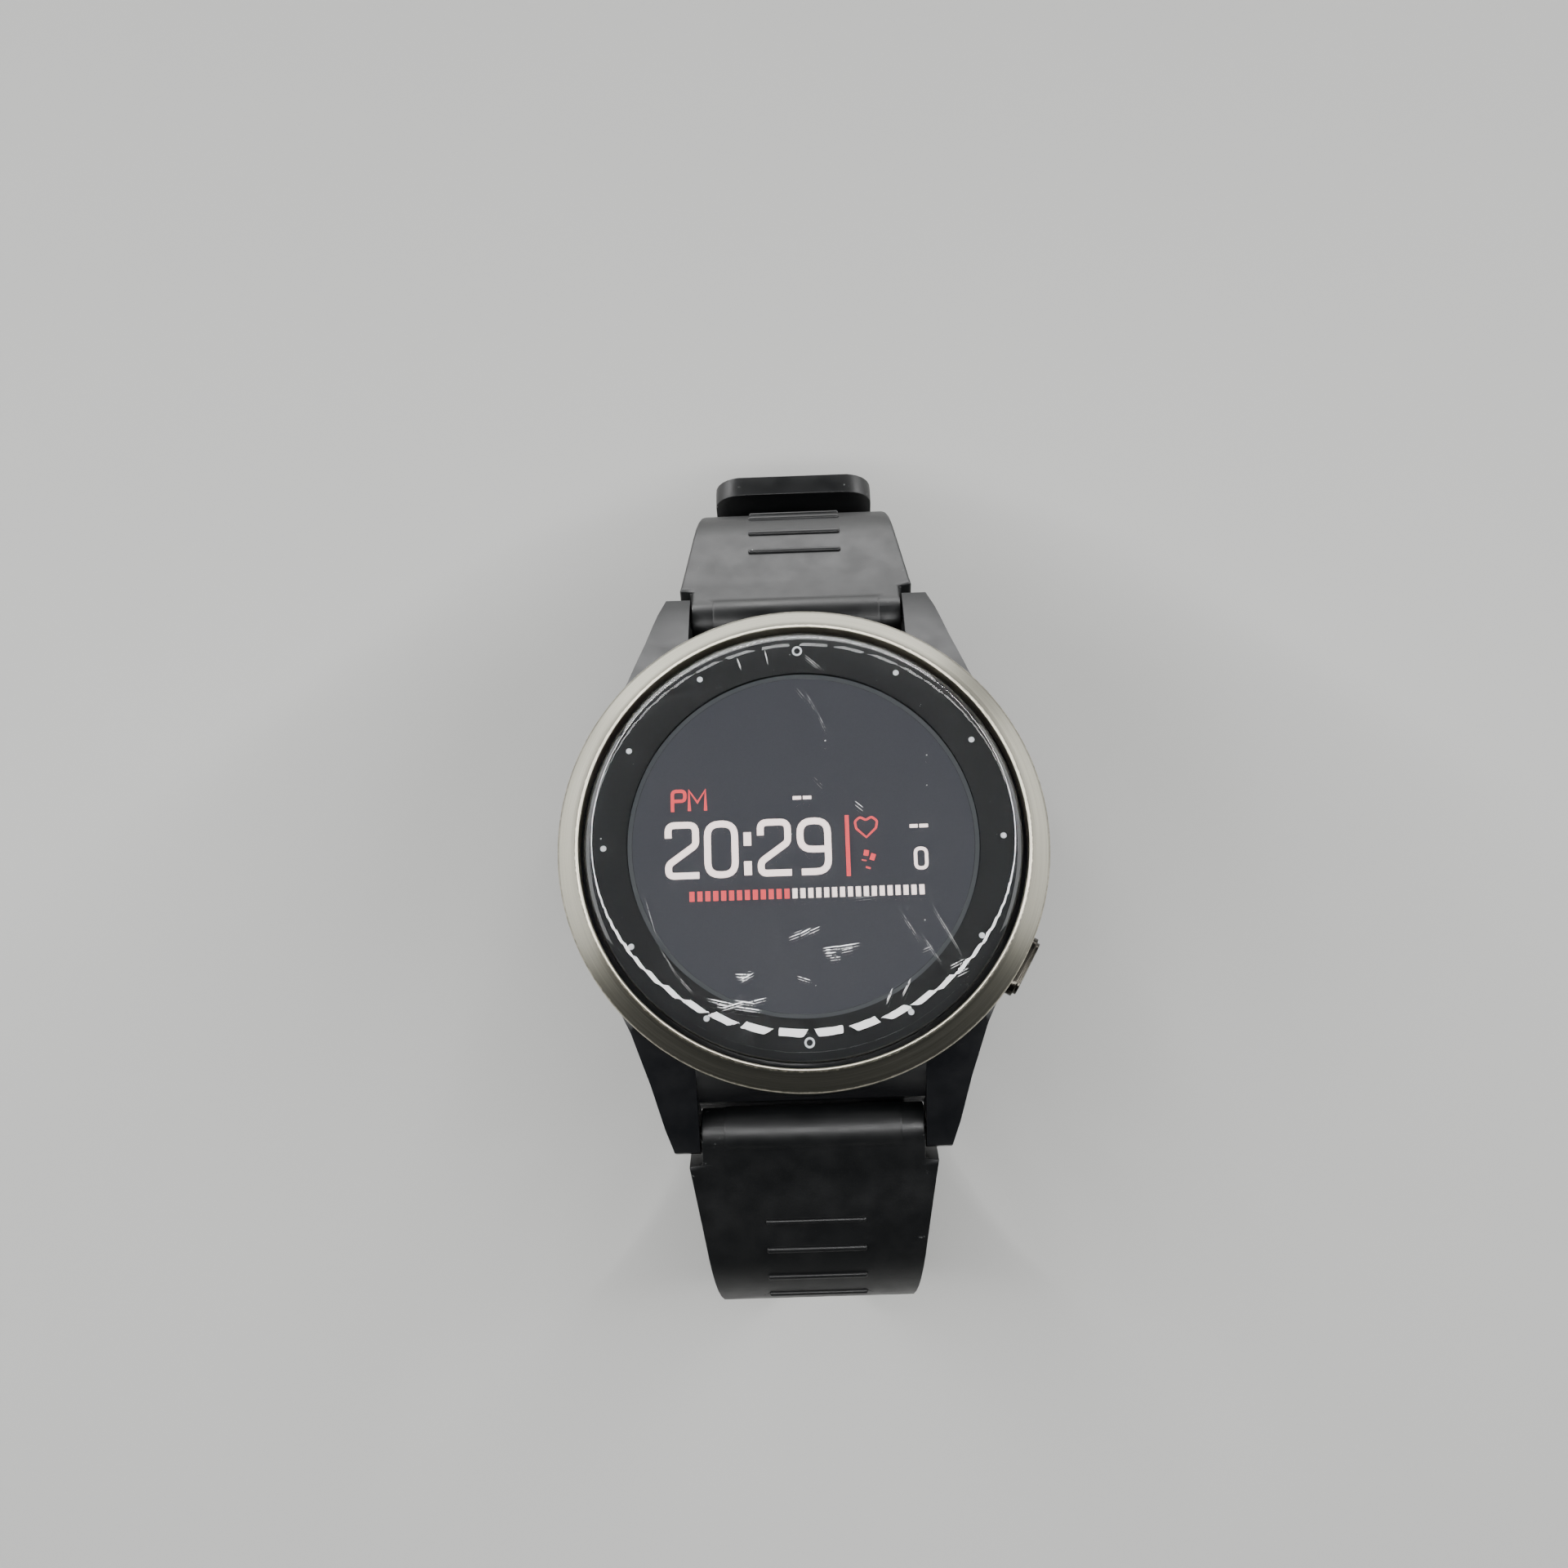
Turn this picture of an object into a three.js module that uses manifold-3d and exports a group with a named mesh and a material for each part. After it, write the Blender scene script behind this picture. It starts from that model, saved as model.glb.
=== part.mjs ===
// Round fitness watch on a two-piece moulded strap, lying dial up with its strap curled into a loop.
// Millimetres, +Z up. The origin is on the ground under the dial's axis, +Y points to twelve o'clock.
// The strap's hole half leaves the case at six o'clock, runs under it and ends outside the buckle half.
import * as THREE from 'three';
import { mergeVertices } from 'three/addons/utils/BufferGeometryUtils.js';
import Module from 'manifold-3d';

const wasm = await Module();
wasm.setup();

// Driving dimensions
const GAP = 0.3; // between pieces that touch
const DIAL_Z = 43; // underside of the glass above the ground
const BEZEL_R = 21.8;
const BEZEL_INNER_R = 19.8;
const BEZEL_DROP = 1.36; // fall of the bezel's slope from its inner to its outer edge
const CASE_R = 21.5;
const CAVITY_R = 18.6;
const MOUTH_R = 17.8; // opening under the display
const SEAT_R = 19.3; // recess for the back cover and its seal
const CASE_TOP = DIAL_Z - 1.9;
const CASE_BOTTOM = DIAL_Z - 11.1;
const LUG_GAP = 20.2; // a 20 mm strap fits between the lugs
const LUG_TIP_Y = 26;
const LUG_ROOT_Y = 12;
const PIVOT_Y = 24.1; // axis of the spring bars
const PIVOT_Z = DIAL_Z - 9.8;
const CRADLE_R = 2.4; // round the sleeve, where the flat wall between the lugs curves under it
const STRAP_WALL_Y = PIVOT_Y - CRADLE_R;
const STRAP_WALL_TOP = PIVOT_Z + 2.4; // above this the wall leans back
const LUG_BOTTOM = PIVOT_Z - 2.3;
const SCREW_R = 16.7; // circle of the back cover's screws
const BOSS_BOTTOM = CASE_BOTTOM + 1.5;
const BOSS_TOP = CASE_BOTTOM + 7;
const BOSS_R = 1.5;
const SCREW_HOLE_R = 0.8;
const CONTACT_X = 4;
const CONTACT_Y = -12.5;
const CELL_BOTTOM = CASE_BOTTOM + 2.8;
const CELL_TOP = CASE_BOTTOM + 5.8;
const BUTTON_ANGLE = -29.5; // degrees from three o'clock
const BUTTON_Z = DIAL_Z - 5;
const BUTTON_POCKET_FLOOR = 20.1; // distance of the pocket's floor from the dial's axis
const STEM_R = 0.8;
const STRAP_WIDTH = 17.5; // at the bend and beyond
const STRAP_END_WIDTH = 19.9; // a close fit between the lugs
const SHOULDER_WIDTH = 22.4; // wings just outside the lugs
const SHOULDER_AT = 2.5; // along the strap from the spring bar
const SHOULDERS_END = 20;
const STATION_PITCH = 1.9; // between the cross sections of a bend
const TAIL_WIDTH = 16.2;
const TAIL_CORNER = 3;
const ROOT_THICKNESS = 3.2;
const TAIL_THICKNESS = 2;
const BUCKLE_HALF_THICKNESS = 2.2;
const EYE_THICKNESS = 4.2; // where the strap grows out of its sleeve
const STRAP_SLOPE = 28; // degrees the strap points down where it leaves the case
const SLEEVE_R = 2.2; // round the spring bar
const SLEEVE_HALF = 8;
const SLEEVE_END_R = 2.1; // the sleeve's stepped ends
const SLEEVE_BORE_R = 1.05;
const HOLE_R = 1.1;
const HOLE_PITCH = 6;
const HOLE_COUNT = 9;
const BUCKLE_WIDTH = 21.4;
const BUCKLE_LENGTH = 9.4; // from the bar to the outside of the crossbar
const BUCKLE_THICKNESS = 1.8;
const BUCKLE_EYE_R = 1.6;
const TONGUE_HALF = 1.1;
const BAR_R = 0.75;
const BAR_TIP_R = 0.4;
const BAR_TIP_X = 10.9; // how far a spring bar's tips reach into the lugs
const BAR_HOLE_R = 0.7;
const PAST = 12; // cutters across the strap reach past its edges
const ROUND = 64; // sides of the large round pieces
const RIM_SIDES = 72; // sides of the bezel and the glass
const SMALL_ROUND = 14; // sides of pins, bores and screws

const degrees = THREE.MathUtils.degToRad;

// Materials
function finish(color, roughness, metalness = 0) {
  return new THREE.MeshStandardMaterial({ color, roughness, metalness });
}

const gunmetal = finish('#6d6459', 0.32, 1);
const caseBlack = finish('#24262a', 0.5);
const glassBlack = finish('#262c2f', 0.06);
const rubberBlack = finish('#1b1c1e', 0.62);
const sealBlack = finish('#101010', 0.7);
const steel = finish('#8c8d90', 0.3, 1);
const darkSteel = finish('#3b3c3f', 0.35, 1);
const panelGrey = finish('#46454b', 0.3);
const boardGreen = finish('#1f4a33', 0.5);
const cellSilver = finish('#9a9c9f', 0.4, 0.6);
const gold = finish('#c9a24a', 0.3, 1);
const frameGrey = finish('#3a3b3d', 0.6);

// Solids: closed geometries, and the same as manifolds for cutting and joining
function toSolid(geometry) {
  const bare = geometry.clone();
  bare.deleteAttribute('normal');
  bare.deleteAttribute('uv');
  const merged = mergeVertices(bare, 1e-4);
  const vertProperties = Float32Array.from(merged.attributes.position.array);
  const triVerts = Uint32Array.from(merged.index.array);
  return new wasm.Manifold(new wasm.Mesh({ numProp: 3, vertProperties, triVerts }));
}

function toGeometry(solid) {
  const { numProp, vertProperties, triVerts } = solid.getMesh();
  const geometry = new THREE.BufferGeometry();
  geometry.setAttribute('position', new THREE.BufferAttribute(vertProperties, numProp));
  geometry.setIndex(new THREE.BufferAttribute(triVerts, 1));
  return geometry;
}

function join(first, ...others) {
  return toGeometry(others.reduce((sum, other) => sum.add(toSolid(other)), toSolid(first)));
}

function cut(first, ...others) {
  return toGeometry(others.reduce((rest, other) => rest.subtract(toSolid(other)), toSolid(first)));
}

function common(first, second) {
  return toGeometry(toSolid(first).intersect(toSolid(second)));
}

function turned(profile, sides = ROUND) {
  const points = profile.map(([radius, z]) => new THREE.Vector2(radius, z));
  return new THREE.LatheGeometry([...points, points[0]], sides).rotateX(Math.PI / 2);
}

function disc(radius, bottom, top, sides = ROUND) {
  const height = top - bottom;
  const upright = new THREE.CylinderGeometry(radius, radius, height, sides).rotateX(Math.PI / 2);
  return upright.translate(0, 0, bottom + height / 2);
}

function washer(inner, outer, bottom, top, sides = ROUND) {
  return turned([[inner, bottom], [outer, bottom], [outer, top], [inner, top]], sides);
}

function rodAlongX(radius, from, to, sides = SMALL_ROUND) {
  const length = to - from;
  const rod = new THREE.CylinderGeometry(radius, radius, length, sides).rotateZ(Math.PI / 2);
  return rod.translate(from + length / 2, 0, 0);
}

function block(x0, x1, y0, y1, z0, z1) {
  const size = [x1 - x0, y1 - y0, z1 - z0];
  return new THREE.BoxGeometry(...size).translate((x0 + x1) / 2, (y0 + y1) / 2, (z0 + z1) / 2);
}

// A side outline of [y, z] points, extruded from x0 to x1
function sidePlate(outline, x0, x1) {
  const shape = new THREE.Shape(outline.map(([y, z]) => new THREE.Vector2(y, z)));
  const plate = new THREE.ExtrudeGeometry(shape, { depth: x1 - x0, bevelEnabled: false });
  return plate.rotateY(Math.PI / 2).rotateX(Math.PI / 2).translate(x0, 0, 0);
}

function named(name, geometry, material) {
  const mesh = new THREE.Mesh(geometry, material);
  mesh.name = name;
  return mesh;
}

// Case: a turned shell with four sloping lugs, a flat wall behind each strap end, screw bosses,
// a button pocket and spring-bar holes
function rightLug() {
  const slope = new THREE.QuadraticBezierCurve(
    new THREE.Vector2(15, CASE_TOP),
    new THREE.Vector2(21.2, CASE_TOP - 2.4),
    new THREE.Vector2(LUG_TIP_Y, CASE_TOP - 6.7),
  );
  const top = slope.getPoints(6).map(({ x, y }) => [x, y]);
  const under = [
    [LUG_TIP_Y, PIVOT_Z - 0.6],
    [PIVOT_Y + 0.9, PIVOT_Z - 2],
    [PIVOT_Y - 0.7, LUG_BOTTOM],
    [20, CASE_BOTTOM],
    [LUG_ROOT_Y, CASE_BOTTOM],
  ];
  const outline = [[LUG_ROOT_Y, CASE_TOP], ...top, ...under];
  const outerSide = [[17.5, LUG_ROOT_Y], [15.6, 16], [14.1, 20.4], [13.1, 24], [12.4, LUG_TIP_Y]];
  const innerSide = [[LUG_GAP / 2, LUG_TIP_Y], [LUG_GAP / 2, LUG_ROOT_Y - 2]];
  const plan = new THREE.Shape([...innerSide, ...outerSide].map(([x, y]) => new THREE.Vector2(x, y)));
  const footprint = new THREE.ExtrudeGeometry(plan, { depth: DIAL_Z, bevelEnabled: false });
  return common(sidePlate(outline, LUG_GAP / 2, 18), footprint);
}

function fourLugs() {
  const right = rightLug();
  const left = mirrored(right);
  return [right, left, right.clone().rotateZ(Math.PI), left.clone().rotateZ(Math.PI)];
}

// The same shape on the other side of the YZ plane, with its faces still pointing out
function mirrored(geometry) {
  const flipped = geometry.clone().scale(-1, 1, 1);
  const index = flipped.index.array;
  for (let i = 0; i < index.length; i += 3) {
    [index[i], index[i + 1]] = [index[i + 1], index[i]];
  }
  return flipped;
}

function screwPlaces() {
  return [45, 135, 225, 315].map((angle) => degrees(angle));
}

function atAngle(geometry, radius, angle) {
  return geometry.clone().translate(radius, 0, 0).rotateZ(angle);
}

function pill(width, height, from, to) {
  const half = (width - height) / 2;
  const shape = new THREE.Shape();
  shape.absarc(half, 0, height / 2, -Math.PI / 2, Math.PI / 2);
  shape.absarc(-half, 0, height / 2, Math.PI / 2, 1.5 * Math.PI);
  const options = { depth: to - from, bevelEnabled: false, curveSegments: 6 };
  const plate = new THREE.ExtrudeGeometry(shape, options);
  return plate.rotateX(Math.PI / 2).rotateZ(Math.PI / 2).translate(from, 0, 0);
}

function placeButton(geometry) {
  return geometry.translate(0, 0, BUTTON_Z).rotateZ(degrees(BUTTON_ANGLE));
}

// Fills the corners between the round wall and the lugs: a straight wall behind the strap, which
// curves a little way under the sleeve
function strapWall() {
  const cradle = [0, 12, 24].map((angle) => [
    PIVOT_Y - CRADLE_R * Math.cos(degrees(angle)),
    PIVOT_Z - CRADLE_R * Math.sin(degrees(angle)),
  ]);
  const lipY = cradle[2][0];
  const slope = [[18.9, CASE_TOP - 0.8], [STRAP_WALL_Y, STRAP_WALL_TOP]];
  const outline = [[17, CASE_TOP - 0.8], ...slope, ...cradle, [lipY, LUG_BOTTOM], [17, LUG_BOTTOM]];
  return sidePlate(outline, -LUG_GAP / 2, LUG_GAP / 2);
}

function caseShell() {
  const body = turned([
    [0, CASE_BOTTOM + GAP],
    [20.3, CASE_BOTTOM + GAP],
    [21.1, CASE_BOTTOM + 1.4],
    [CASE_R, CASE_BOTTOM + 3],
    [CASE_R, CASE_TOP],
    [0, CASE_TOP],
  ]);
  const cavity = turned([
    [0, CASE_BOTTOM - 1],
    [SEAT_R, CASE_BOTTOM - 1],
    [SEAT_R, CASE_BOTTOM + 1.4],
    [CAVITY_R, CASE_BOTTOM + 1.4],
    [CAVITY_R, CASE_TOP - 1],
    [MOUTH_R, CASE_TOP - 1],
    [MOUTH_R, CASE_TOP + 1],
    [0, CASE_TOP + 1],
  ]);
  const walls = [strapWall(), strapWall().rotateZ(Math.PI)];
  return cut(join(body, ...fourLugs(), ...walls), cavity);
}

function midCase() {
  const boss = join(
    disc(BOSS_R, BOSS_BOTTOM, BOSS_TOP, SMALL_ROUND),
    block(0, CAVITY_R - SCREW_R + 1, -BOSS_R, BOSS_R, BOSS_BOTTOM, BOSS_TOP),
  );
  const tap = disc(SCREW_HOLE_R, CASE_BOTTOM, CASE_BOTTOM + 5.6, SMALL_ROUND);
  const barHole = rodAlongX(BAR_HOLE_R, -11.4, 11.4).translate(0, PIVOT_Y, PIVOT_Z);
  const pocket = placeButton(pill(6.4, 3.1, BUTTON_POCKET_FLOOR, 23));
  const stemHole = placeButton(rodAlongX(1.9, 17.9, 23));
  const bosses = screwPlaces().map((angle) => atAngle(boss, SCREW_R, angle));
  const taps = screwPlaces().map((angle) => atAngle(tap, SCREW_R, angle));
  const barHoles = [barHole, barHole.clone().rotateZ(Math.PI)];
  return cut(join(caseShell(), ...bosses), ...taps, ...barHoles, pocket, stemHole);
}

function bezelRing() {
  const top = DIAL_Z + 0.66;
  const floor = CASE_TOP + GAP;
  return turned([
    [BEZEL_INNER_R, floor],
    [BEZEL_R - 0.1, floor],
    [BEZEL_R, floor + 0.1],
    [BEZEL_R, top - BEZEL_DROP],
    [BEZEL_INNER_R + 0.15, top],
    [BEZEL_INNER_R, top - 0.1],
  ], RIM_SIDES);
}

// Domed glass: nearly flat over the display, rolling over near its rim
function coverGlass() {
  const rim = 19.3;
  const dome = new THREE.CubicBezierCurve(
    new THREE.Vector2(rim, DIAL_Z + 0.45),
    new THREE.Vector2(18.9, DIAL_Z + 1.4),
    new THREE.Vector2(16.5, DIAL_Z + 1.95),
    new THREE.Vector2(10, DIAL_Z + 2.05),
  );
  const over = dome.getPoints(7).map(({ x, y }) => [x, y]);
  const under = [[0, DIAL_Z], [rim - 0.15, DIAL_Z], [rim, DIAL_Z + 0.15]];
  return turned([...under, ...over, [0, DIAL_Z + 2.1]], RIM_SIDES);
}

function backCover() {
  const plate = washer(9, 18.3, CASE_BOTTOM - 0.6, CASE_BOTTOM + 1.1);
  const screwHole = disc(SCREW_HOLE_R, CASE_BOTTOM - 1, CASE_BOTTOM + 2, SMALL_ROUND);
  const headPocket = disc(1.2, CASE_BOTTOM - 1, CASE_BOTTOM + 0.5, SMALL_ROUND);
  const steps = [screwHole, headPocket];
  const holes = screwPlaces().flatMap((angle) => steps.map((step) => atAngle(step, SCREW_R, angle)));
  const contactHole = disc(1, CASE_BOTTOM - 1, CASE_BOTTOM + 2, SMALL_ROUND);
  const contactHoles = [-CONTACT_X, CONTACT_X].map((x) => contactHole.clone().translate(x, CONTACT_Y, 0));
  return cut(plate, ...holes, ...contactHoles);
}

function sensorWindow() {
  return turned([
    [0, CASE_BOTTOM - 1.5],
    [6, CASE_BOTTOM - 1.35],
    [8.2, CASE_BOTTOM - 0.8],
    [8.7, CASE_BOTTOM - 0.4],
    [8.7, CASE_BOTTOM + 1],
    [0, CASE_BOTTOM + 1],
  ], 48);
}

function backScrew(angle) {
  const screw = turned([
    [0, CASE_BOTTOM - 0.3],
    [0.85, CASE_BOTTOM - 0.3],
    [0.85, CASE_BOTTOM + 0.2],
    [0.5, CASE_BOTTOM + 0.2],
    [0.5, CASE_BOTTOM + 5],
    [0, CASE_BOTTOM + 5],
  ], SMALL_ROUND);
  const slot = block(-1, 1, -0.12, 0.12, CASE_BOTTOM - 1, CASE_BOTTOM - 0.1);
  return atAngle(cut(screw, slot), SCREW_R, angle);
}

// Carrier ring that holds the cell and the board, relieved at the bosses and the button
function innerFrame() {
  const ring = washer(14, 18.2, CASE_BOTTOM + 2, CASE_BOTTOM + 6.5);
  const relief = disc(1.8, CASE_BOTTOM, CASE_TOP, SMALL_ROUND);
  const outward = block(0, 3, -1.8, 1.8, CASE_BOTTOM, CASE_TOP);
  const gaps = [relief, outward];
  const reliefs = screwPlaces().flatMap((angle) => gaps.map((gap) => atAngle(gap, SCREW_R, angle)));
  const switchBay = placeButton(block(13, 19, -2.6, 2.6, -1.7, 3));
  return cut(ring, ...reliefs, switchBay);
}

function mainBoard() {
  const places = [[-7, -1, 0, 6], [2.5, 7.5, -5.5, 1.5], [-7, -3, -7.5, -4.5]];
  const chips = places.map((place) => block(...place, CASE_BOTTOM + 6.6, CASE_BOTTOM + 7.2));
  return join(disc(13.6, CASE_BOTTOM + 6.1, CASE_BOTTOM + 6.8, 48), ...chips);
}

function sensorBoard() {
  const chip = block(-1, 1, -1.5, 1.5, CASE_BOTTOM + 1.9, CASE_BOTTOM + 2.4);
  const chips = [-3, 3].map((x) => chip.clone().translate(x, 0, 0));
  return join(disc(8.3, CASE_BOTTOM + 1.3, CASE_BOTTOM + 2, 36), ...chips);
}

// Pill-shaped pusher on a stem that runs through its bush and seal to the switch
function sideButton() {
  const head = pill(5.7, 2.4, 20.9, 22.2);
  const crown = pill(5.1, 1.8, 22, 22.5);
  const stem = join(
    rodAlongX(STEM_R, 18.5, 21.2),
    rodAlongX(STEM_R - 0.3, 17.5, 18.8),
    rodAlongX(STEM_R, 17.3, 17.7),
  );
  return placeButton(join(head, crown, stem));
}

function buttonWasher(inner, outer, from, to) {
  return placeButton(washer(inner, outer, from, to, 18).rotateY(Math.PI / 2));
}

function caseShellParts() {
  return [
    named('mid_case', midCase(), caseBlack),
    named('bezel_ring', bezelRing(), gunmetal),
    named('cover_glass', coverGlass(), glassBlack),
    named('glass_gasket', washer(18.1, 19.2, CASE_TOP + GAP, DIAL_Z - GAP), sealBlack),
    named('back_cover', backCover(), frameGrey),
    named('back_seal', washer(18.55, 19.05, CASE_BOTTOM + GAP, CASE_BOTTOM + 1.1), sealBlack),
    named('sensor_window', sensorWindow(), glassBlack),
    ...screwPlaces().map((angle, i) => named(`back_screw_${i + 1}`, backScrew(angle), darkSteel)),
  ];
}

function insideParts() {
  const motor = disc(2.2, CELL_BOTTOM, CELL_BOTTOM + 2.7, 24).translate(0, 10.8, 0);
  const contact = disc(0.7, CASE_BOTTOM - 0.6, CASE_BOTTOM + 1.7, SMALL_ROUND);
  return [
    named('display_panel', disc(16.6, DIAL_Z - 1.9, DIAL_Z - 0.6), panelGrey),
    named('display_frame', washer(6, 17.3, DIAL_Z - 3.4, DIAL_Z - 2.3), frameGrey),
    named('inner_frame', innerFrame(), frameGrey),
    named('main_board', mainBoard(), boardGreen),
    named('battery', block(-11, 11, -7.8, 7.8, CELL_BOTTOM, CELL_TOP), cellSilver),
    named('vibration_motor', motor, steel),
    named('sensor_board', sensorBoard(), boardGreen),
    named('charge_contact_left', contact.clone().translate(-CONTACT_X, CONTACT_Y, 0), gold),
    named('charge_contact_right', contact.clone().translate(CONTACT_X, CONTACT_Y, 0), gold),
  ];
}

function buttonParts() {
  return [
    named('side_button', sideButton(), glassBlack),
    named('button_bush', buttonWasher(1.1, 1.65, 18.7, 19.3), steel),
    named('button_seal', buttonWasher(1.05, 1.65, 19.55, 19.9), sealBlack),
    named('button_clip', buttonWasher(0.7, 1.6, 17.9, 18.3), steel),
    named('button_switch', placeButton(block(15.3, 16.5, -1.6, 1.6, -1.4, 1)), steel),
  ];
}

// Strap routes: straight and curved stretches, walked from the spring bar.
// The heading is the angle below the outward horizontal, and grows as the strap curls under.
const LUG_STRAIGHT = 10.6;
const LUG_BEND_R = 8.2;
const UNDER_R = 30.9;
const REST_LENGTH = 24; // flat stretch the watch stands on
const LUG_STRETCH = [{ length: LUG_STRAIGHT, turn: 0 }, { radius: LUG_BEND_R, turn: 90 - STRAP_SLOPE }];
const bendFall = LUG_STRAIGHT * Math.sin(degrees(STRAP_SLOPE)) + LUG_BEND_R * Math.cos(degrees(STRAP_SLOPE));
const sideFall = PIVOT_Z - TAIL_THICKNESS / 2 - bendFall - UNDER_R * (1 - Math.cos(degrees(40)));
const HOLE_HALF_ROUTE = [
  ...LUG_STRETCH,
  { radius: sideFall / Math.sin(degrees(50)), turn: 50 },
  { radius: UNDER_R, turn: 40 },
  { length: REST_LENGTH, turn: 0 },
  { radius: 39.2, turn: 40 },
  { radius: 15.4, turn: 50 },
];
const BUCKLE_HALF_ROUTE = [...LUG_STRETCH, { radius: 12.4, turn: 105 }, { length: 32, turn: 0 }];

const stretchLength = ({ length, radius, turn }) => length ?? radius * degrees(turn);
const routeLength = (route) => route.reduce((sum, stretch) => sum + stretchLength(stretch), 0);

// Place on a route at a distance from the spring bar: y, z and the heading in radians
function alongRoute(route, distance) {
  let place = { y: PIVOT_Y, z: PIVOT_Z, heading: degrees(STRAP_SLOPE) };
  let left = distance;
  for (const stretch of route) {
    const step = Math.min(left, stretchLength(stretch));
    const { y, z, heading } = place;
    if (stretch.turn === 0) {
      place = { y: y + step * Math.cos(heading), z: z - step * Math.sin(heading), heading };
    } else {
      const next = heading + step / stretch.radius;
      place = {
        y: y + stretch.radius * (Math.sin(next) - Math.sin(heading)),
        z: z + stretch.radius * (Math.cos(next) - Math.cos(heading)),
        heading: next,
      };
    }
    left -= step;
  }
  return place;
}

// Puts a shape made at the origin, with y along the strap and z out of its outer face, on the route
function ontoRoute(geometry, route, distance) {
  const { y, z, heading } = alongRoute(route, distance);
  return geometry.rotateX(-heading).translate(0, y, z);
}

// Sweeps a chamfered section along a route, with its own width and thickness at each distance
function sweep(route, stations, widthAt, thicknessAt) {
  const near = [[-1, -0.5], [-0.95, -1], [0.95, -1], [1, -0.5]];
  const far = [[1, 0.5], [0.95, 1], [-0.95, 1], [-1, 0.5]];
  const section = new THREE.Shape([...near, ...far].map(([x, y]) => new THREE.Vector2(x, y)));
  const steps = stations.length - 1;
  const band = new THREE.ExtrudeGeometry(section, { depth: steps, steps, bevelEnabled: false });
  const position = band.attributes.position;
  for (let i = 0; i < position.count; i += 1) {
    const distance = stations[Math.round(position.getZ(i))];
    const { y, z, heading } = alongRoute(route, distance);
    const across = (position.getX(i) * widthAt(distance)) / 2;
    const out = (-position.getY(i) * thicknessAt(distance)) / 2;
    position.setXYZ(i, across, y + out * Math.sin(heading), z + out * Math.cos(heading));
  }
  return band;
}

const blend = (from, to, share) => from + (to - from) * Math.min(Math.max(share, 0), 1);

function strapWidth(distance) {
  if (distance < SHOULDER_AT) return STRAP_END_WIDTH;
  return blend(SHOULDER_WIDTH, STRAP_WIDTH, (distance - SHOULDER_AT) / 17);
}

function tailWidth(distance, length) {
  const share = (distance - SHOULDERS_END) / 70;
  const width = distance < SHOULDERS_END ? strapWidth(distance) : blend(STRAP_WIDTH, TAIL_WIDTH, share);
  const fromCorner = Math.max(TAIL_CORNER - (length - distance), 0);
  return width - 2 * (TAIL_CORNER - Math.sqrt(TAIL_CORNER ** 2 - fromCorner ** 2));
}

// Places of the cross sections: one at each end of a stretch, and more along it where it bends or
// its width changes
function strapStations(route, tail) {
  const length = routeLength(route);
  const spans = route.map((stretch, i) => {
    const from = routeLength(route.slice(0, i));
    const last = i === route.length - 1;
    const plain = stretch.turn === 0 && from > SHOULDERS_END;
    return { from: Math.max(from, 4), to: from + stretchLength(stretch) - (last ? tail : 0), plain };
  });
  const along = spans.flatMap(({ from, to, plain }) => {
    const steps = plain ? 1 : Math.round((to - from) / STATION_PITCH);
    return Array.from({ length: steps }, (_, i) => blend(from, to, i / steps));
  });
  const tip = tail ? [2, 1, 0.4, 0.1, 0].map((left) => length - left) : [];
  return [0, SHOULDER_AT - 0.1, SHOULDER_AT + 0.1, ...along, length - tail, ...tip];
}

// The strap is thickest where it grows out of its sleeve, and thins towards its far end
function strapThickness(distance, thin) {
  if (distance < 4) return blend(EYE_THICKNESS, ROOT_THICKNESS, distance / 4);
  return blend(ROOT_THICKNESS, thin, (distance - 4) / 18);
}

// Sleeve round the spring bar, and the slot on the inner face where the release lever slides
function withSleeve(band, route) {
  const half = STRAP_END_WIDTH / 2;
  const core = rodAlongX(SLEEVE_R, -SLEEVE_HALF, SLEEVE_HALF, 20);
  const ends = rodAlongX(SLEEVE_END_R, -half, half, 20);
  const bore = rodAlongX(SLEEVE_BORE_R, -PAST, PAST);
  const slot = block(-8.3, -4.3, -0.95, 0.95, -4, 0);
  const sleeve = ontoRoute(join(ends, core), route, 0);
  return cut(join(band, sleeve), ontoRoute(bore, route, 0), ontoRoute(slot, route, 0));
}

function holeHalf() {
  const length = routeLength(HOLE_HALF_ROUTE);
  const thickness = (distance) => strapThickness(distance, TAIL_THICKNESS);
  const width = (distance) => tailWidth(distance, length);
  const band = sweep(HOLE_HALF_ROUTE, strapStations(HOLE_HALF_ROUTE, TAIL_CORNER), width, thickness);
  const first = routeLength(HOLE_HALF_ROUTE.slice(0, 4)) + REST_LENGTH / 2 - 3.5 * HOLE_PITCH;
  const places = Array.from({ length: HOLE_COUNT }, (_, i) => first + i * HOLE_PITCH);
  const holes = places.map((place) => ontoRoute(disc(HOLE_R, -3, 3, 12), HOLE_HALF_ROUTE, place));
  return cut(withSleeve(band, HOLE_HALF_ROUTE), ...holes);
}

function buckleHalf() {
  const length = routeLength(BUCKLE_HALF_ROUTE);
  const thickness = (distance) => strapThickness(distance, BUCKLE_HALF_THICKNESS);
  const band = sweep(BUCKLE_HALF_ROUTE, strapStations(BUCKLE_HALF_ROUTE, 0), strapWidth, thickness);
  const atEnd = (geometry) => ontoRoute(geometry, BUCKLE_HALF_ROUTE, length);
  const eye = atEnd(rodAlongX(1.65, -STRAP_WIDTH / 2, STRAP_WIDTH / 2, 20));
  const bore = atEnd(rodAlongX(SLEEVE_BORE_R, -PAST, PAST));
  const notch = atEnd(block(-1.7, 1.7, -2.4, 3, -3, 3));
  return cut(withSleeve(join(band, eye), BUCKLE_HALF_ROUTE), bore, notch);
}

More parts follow.
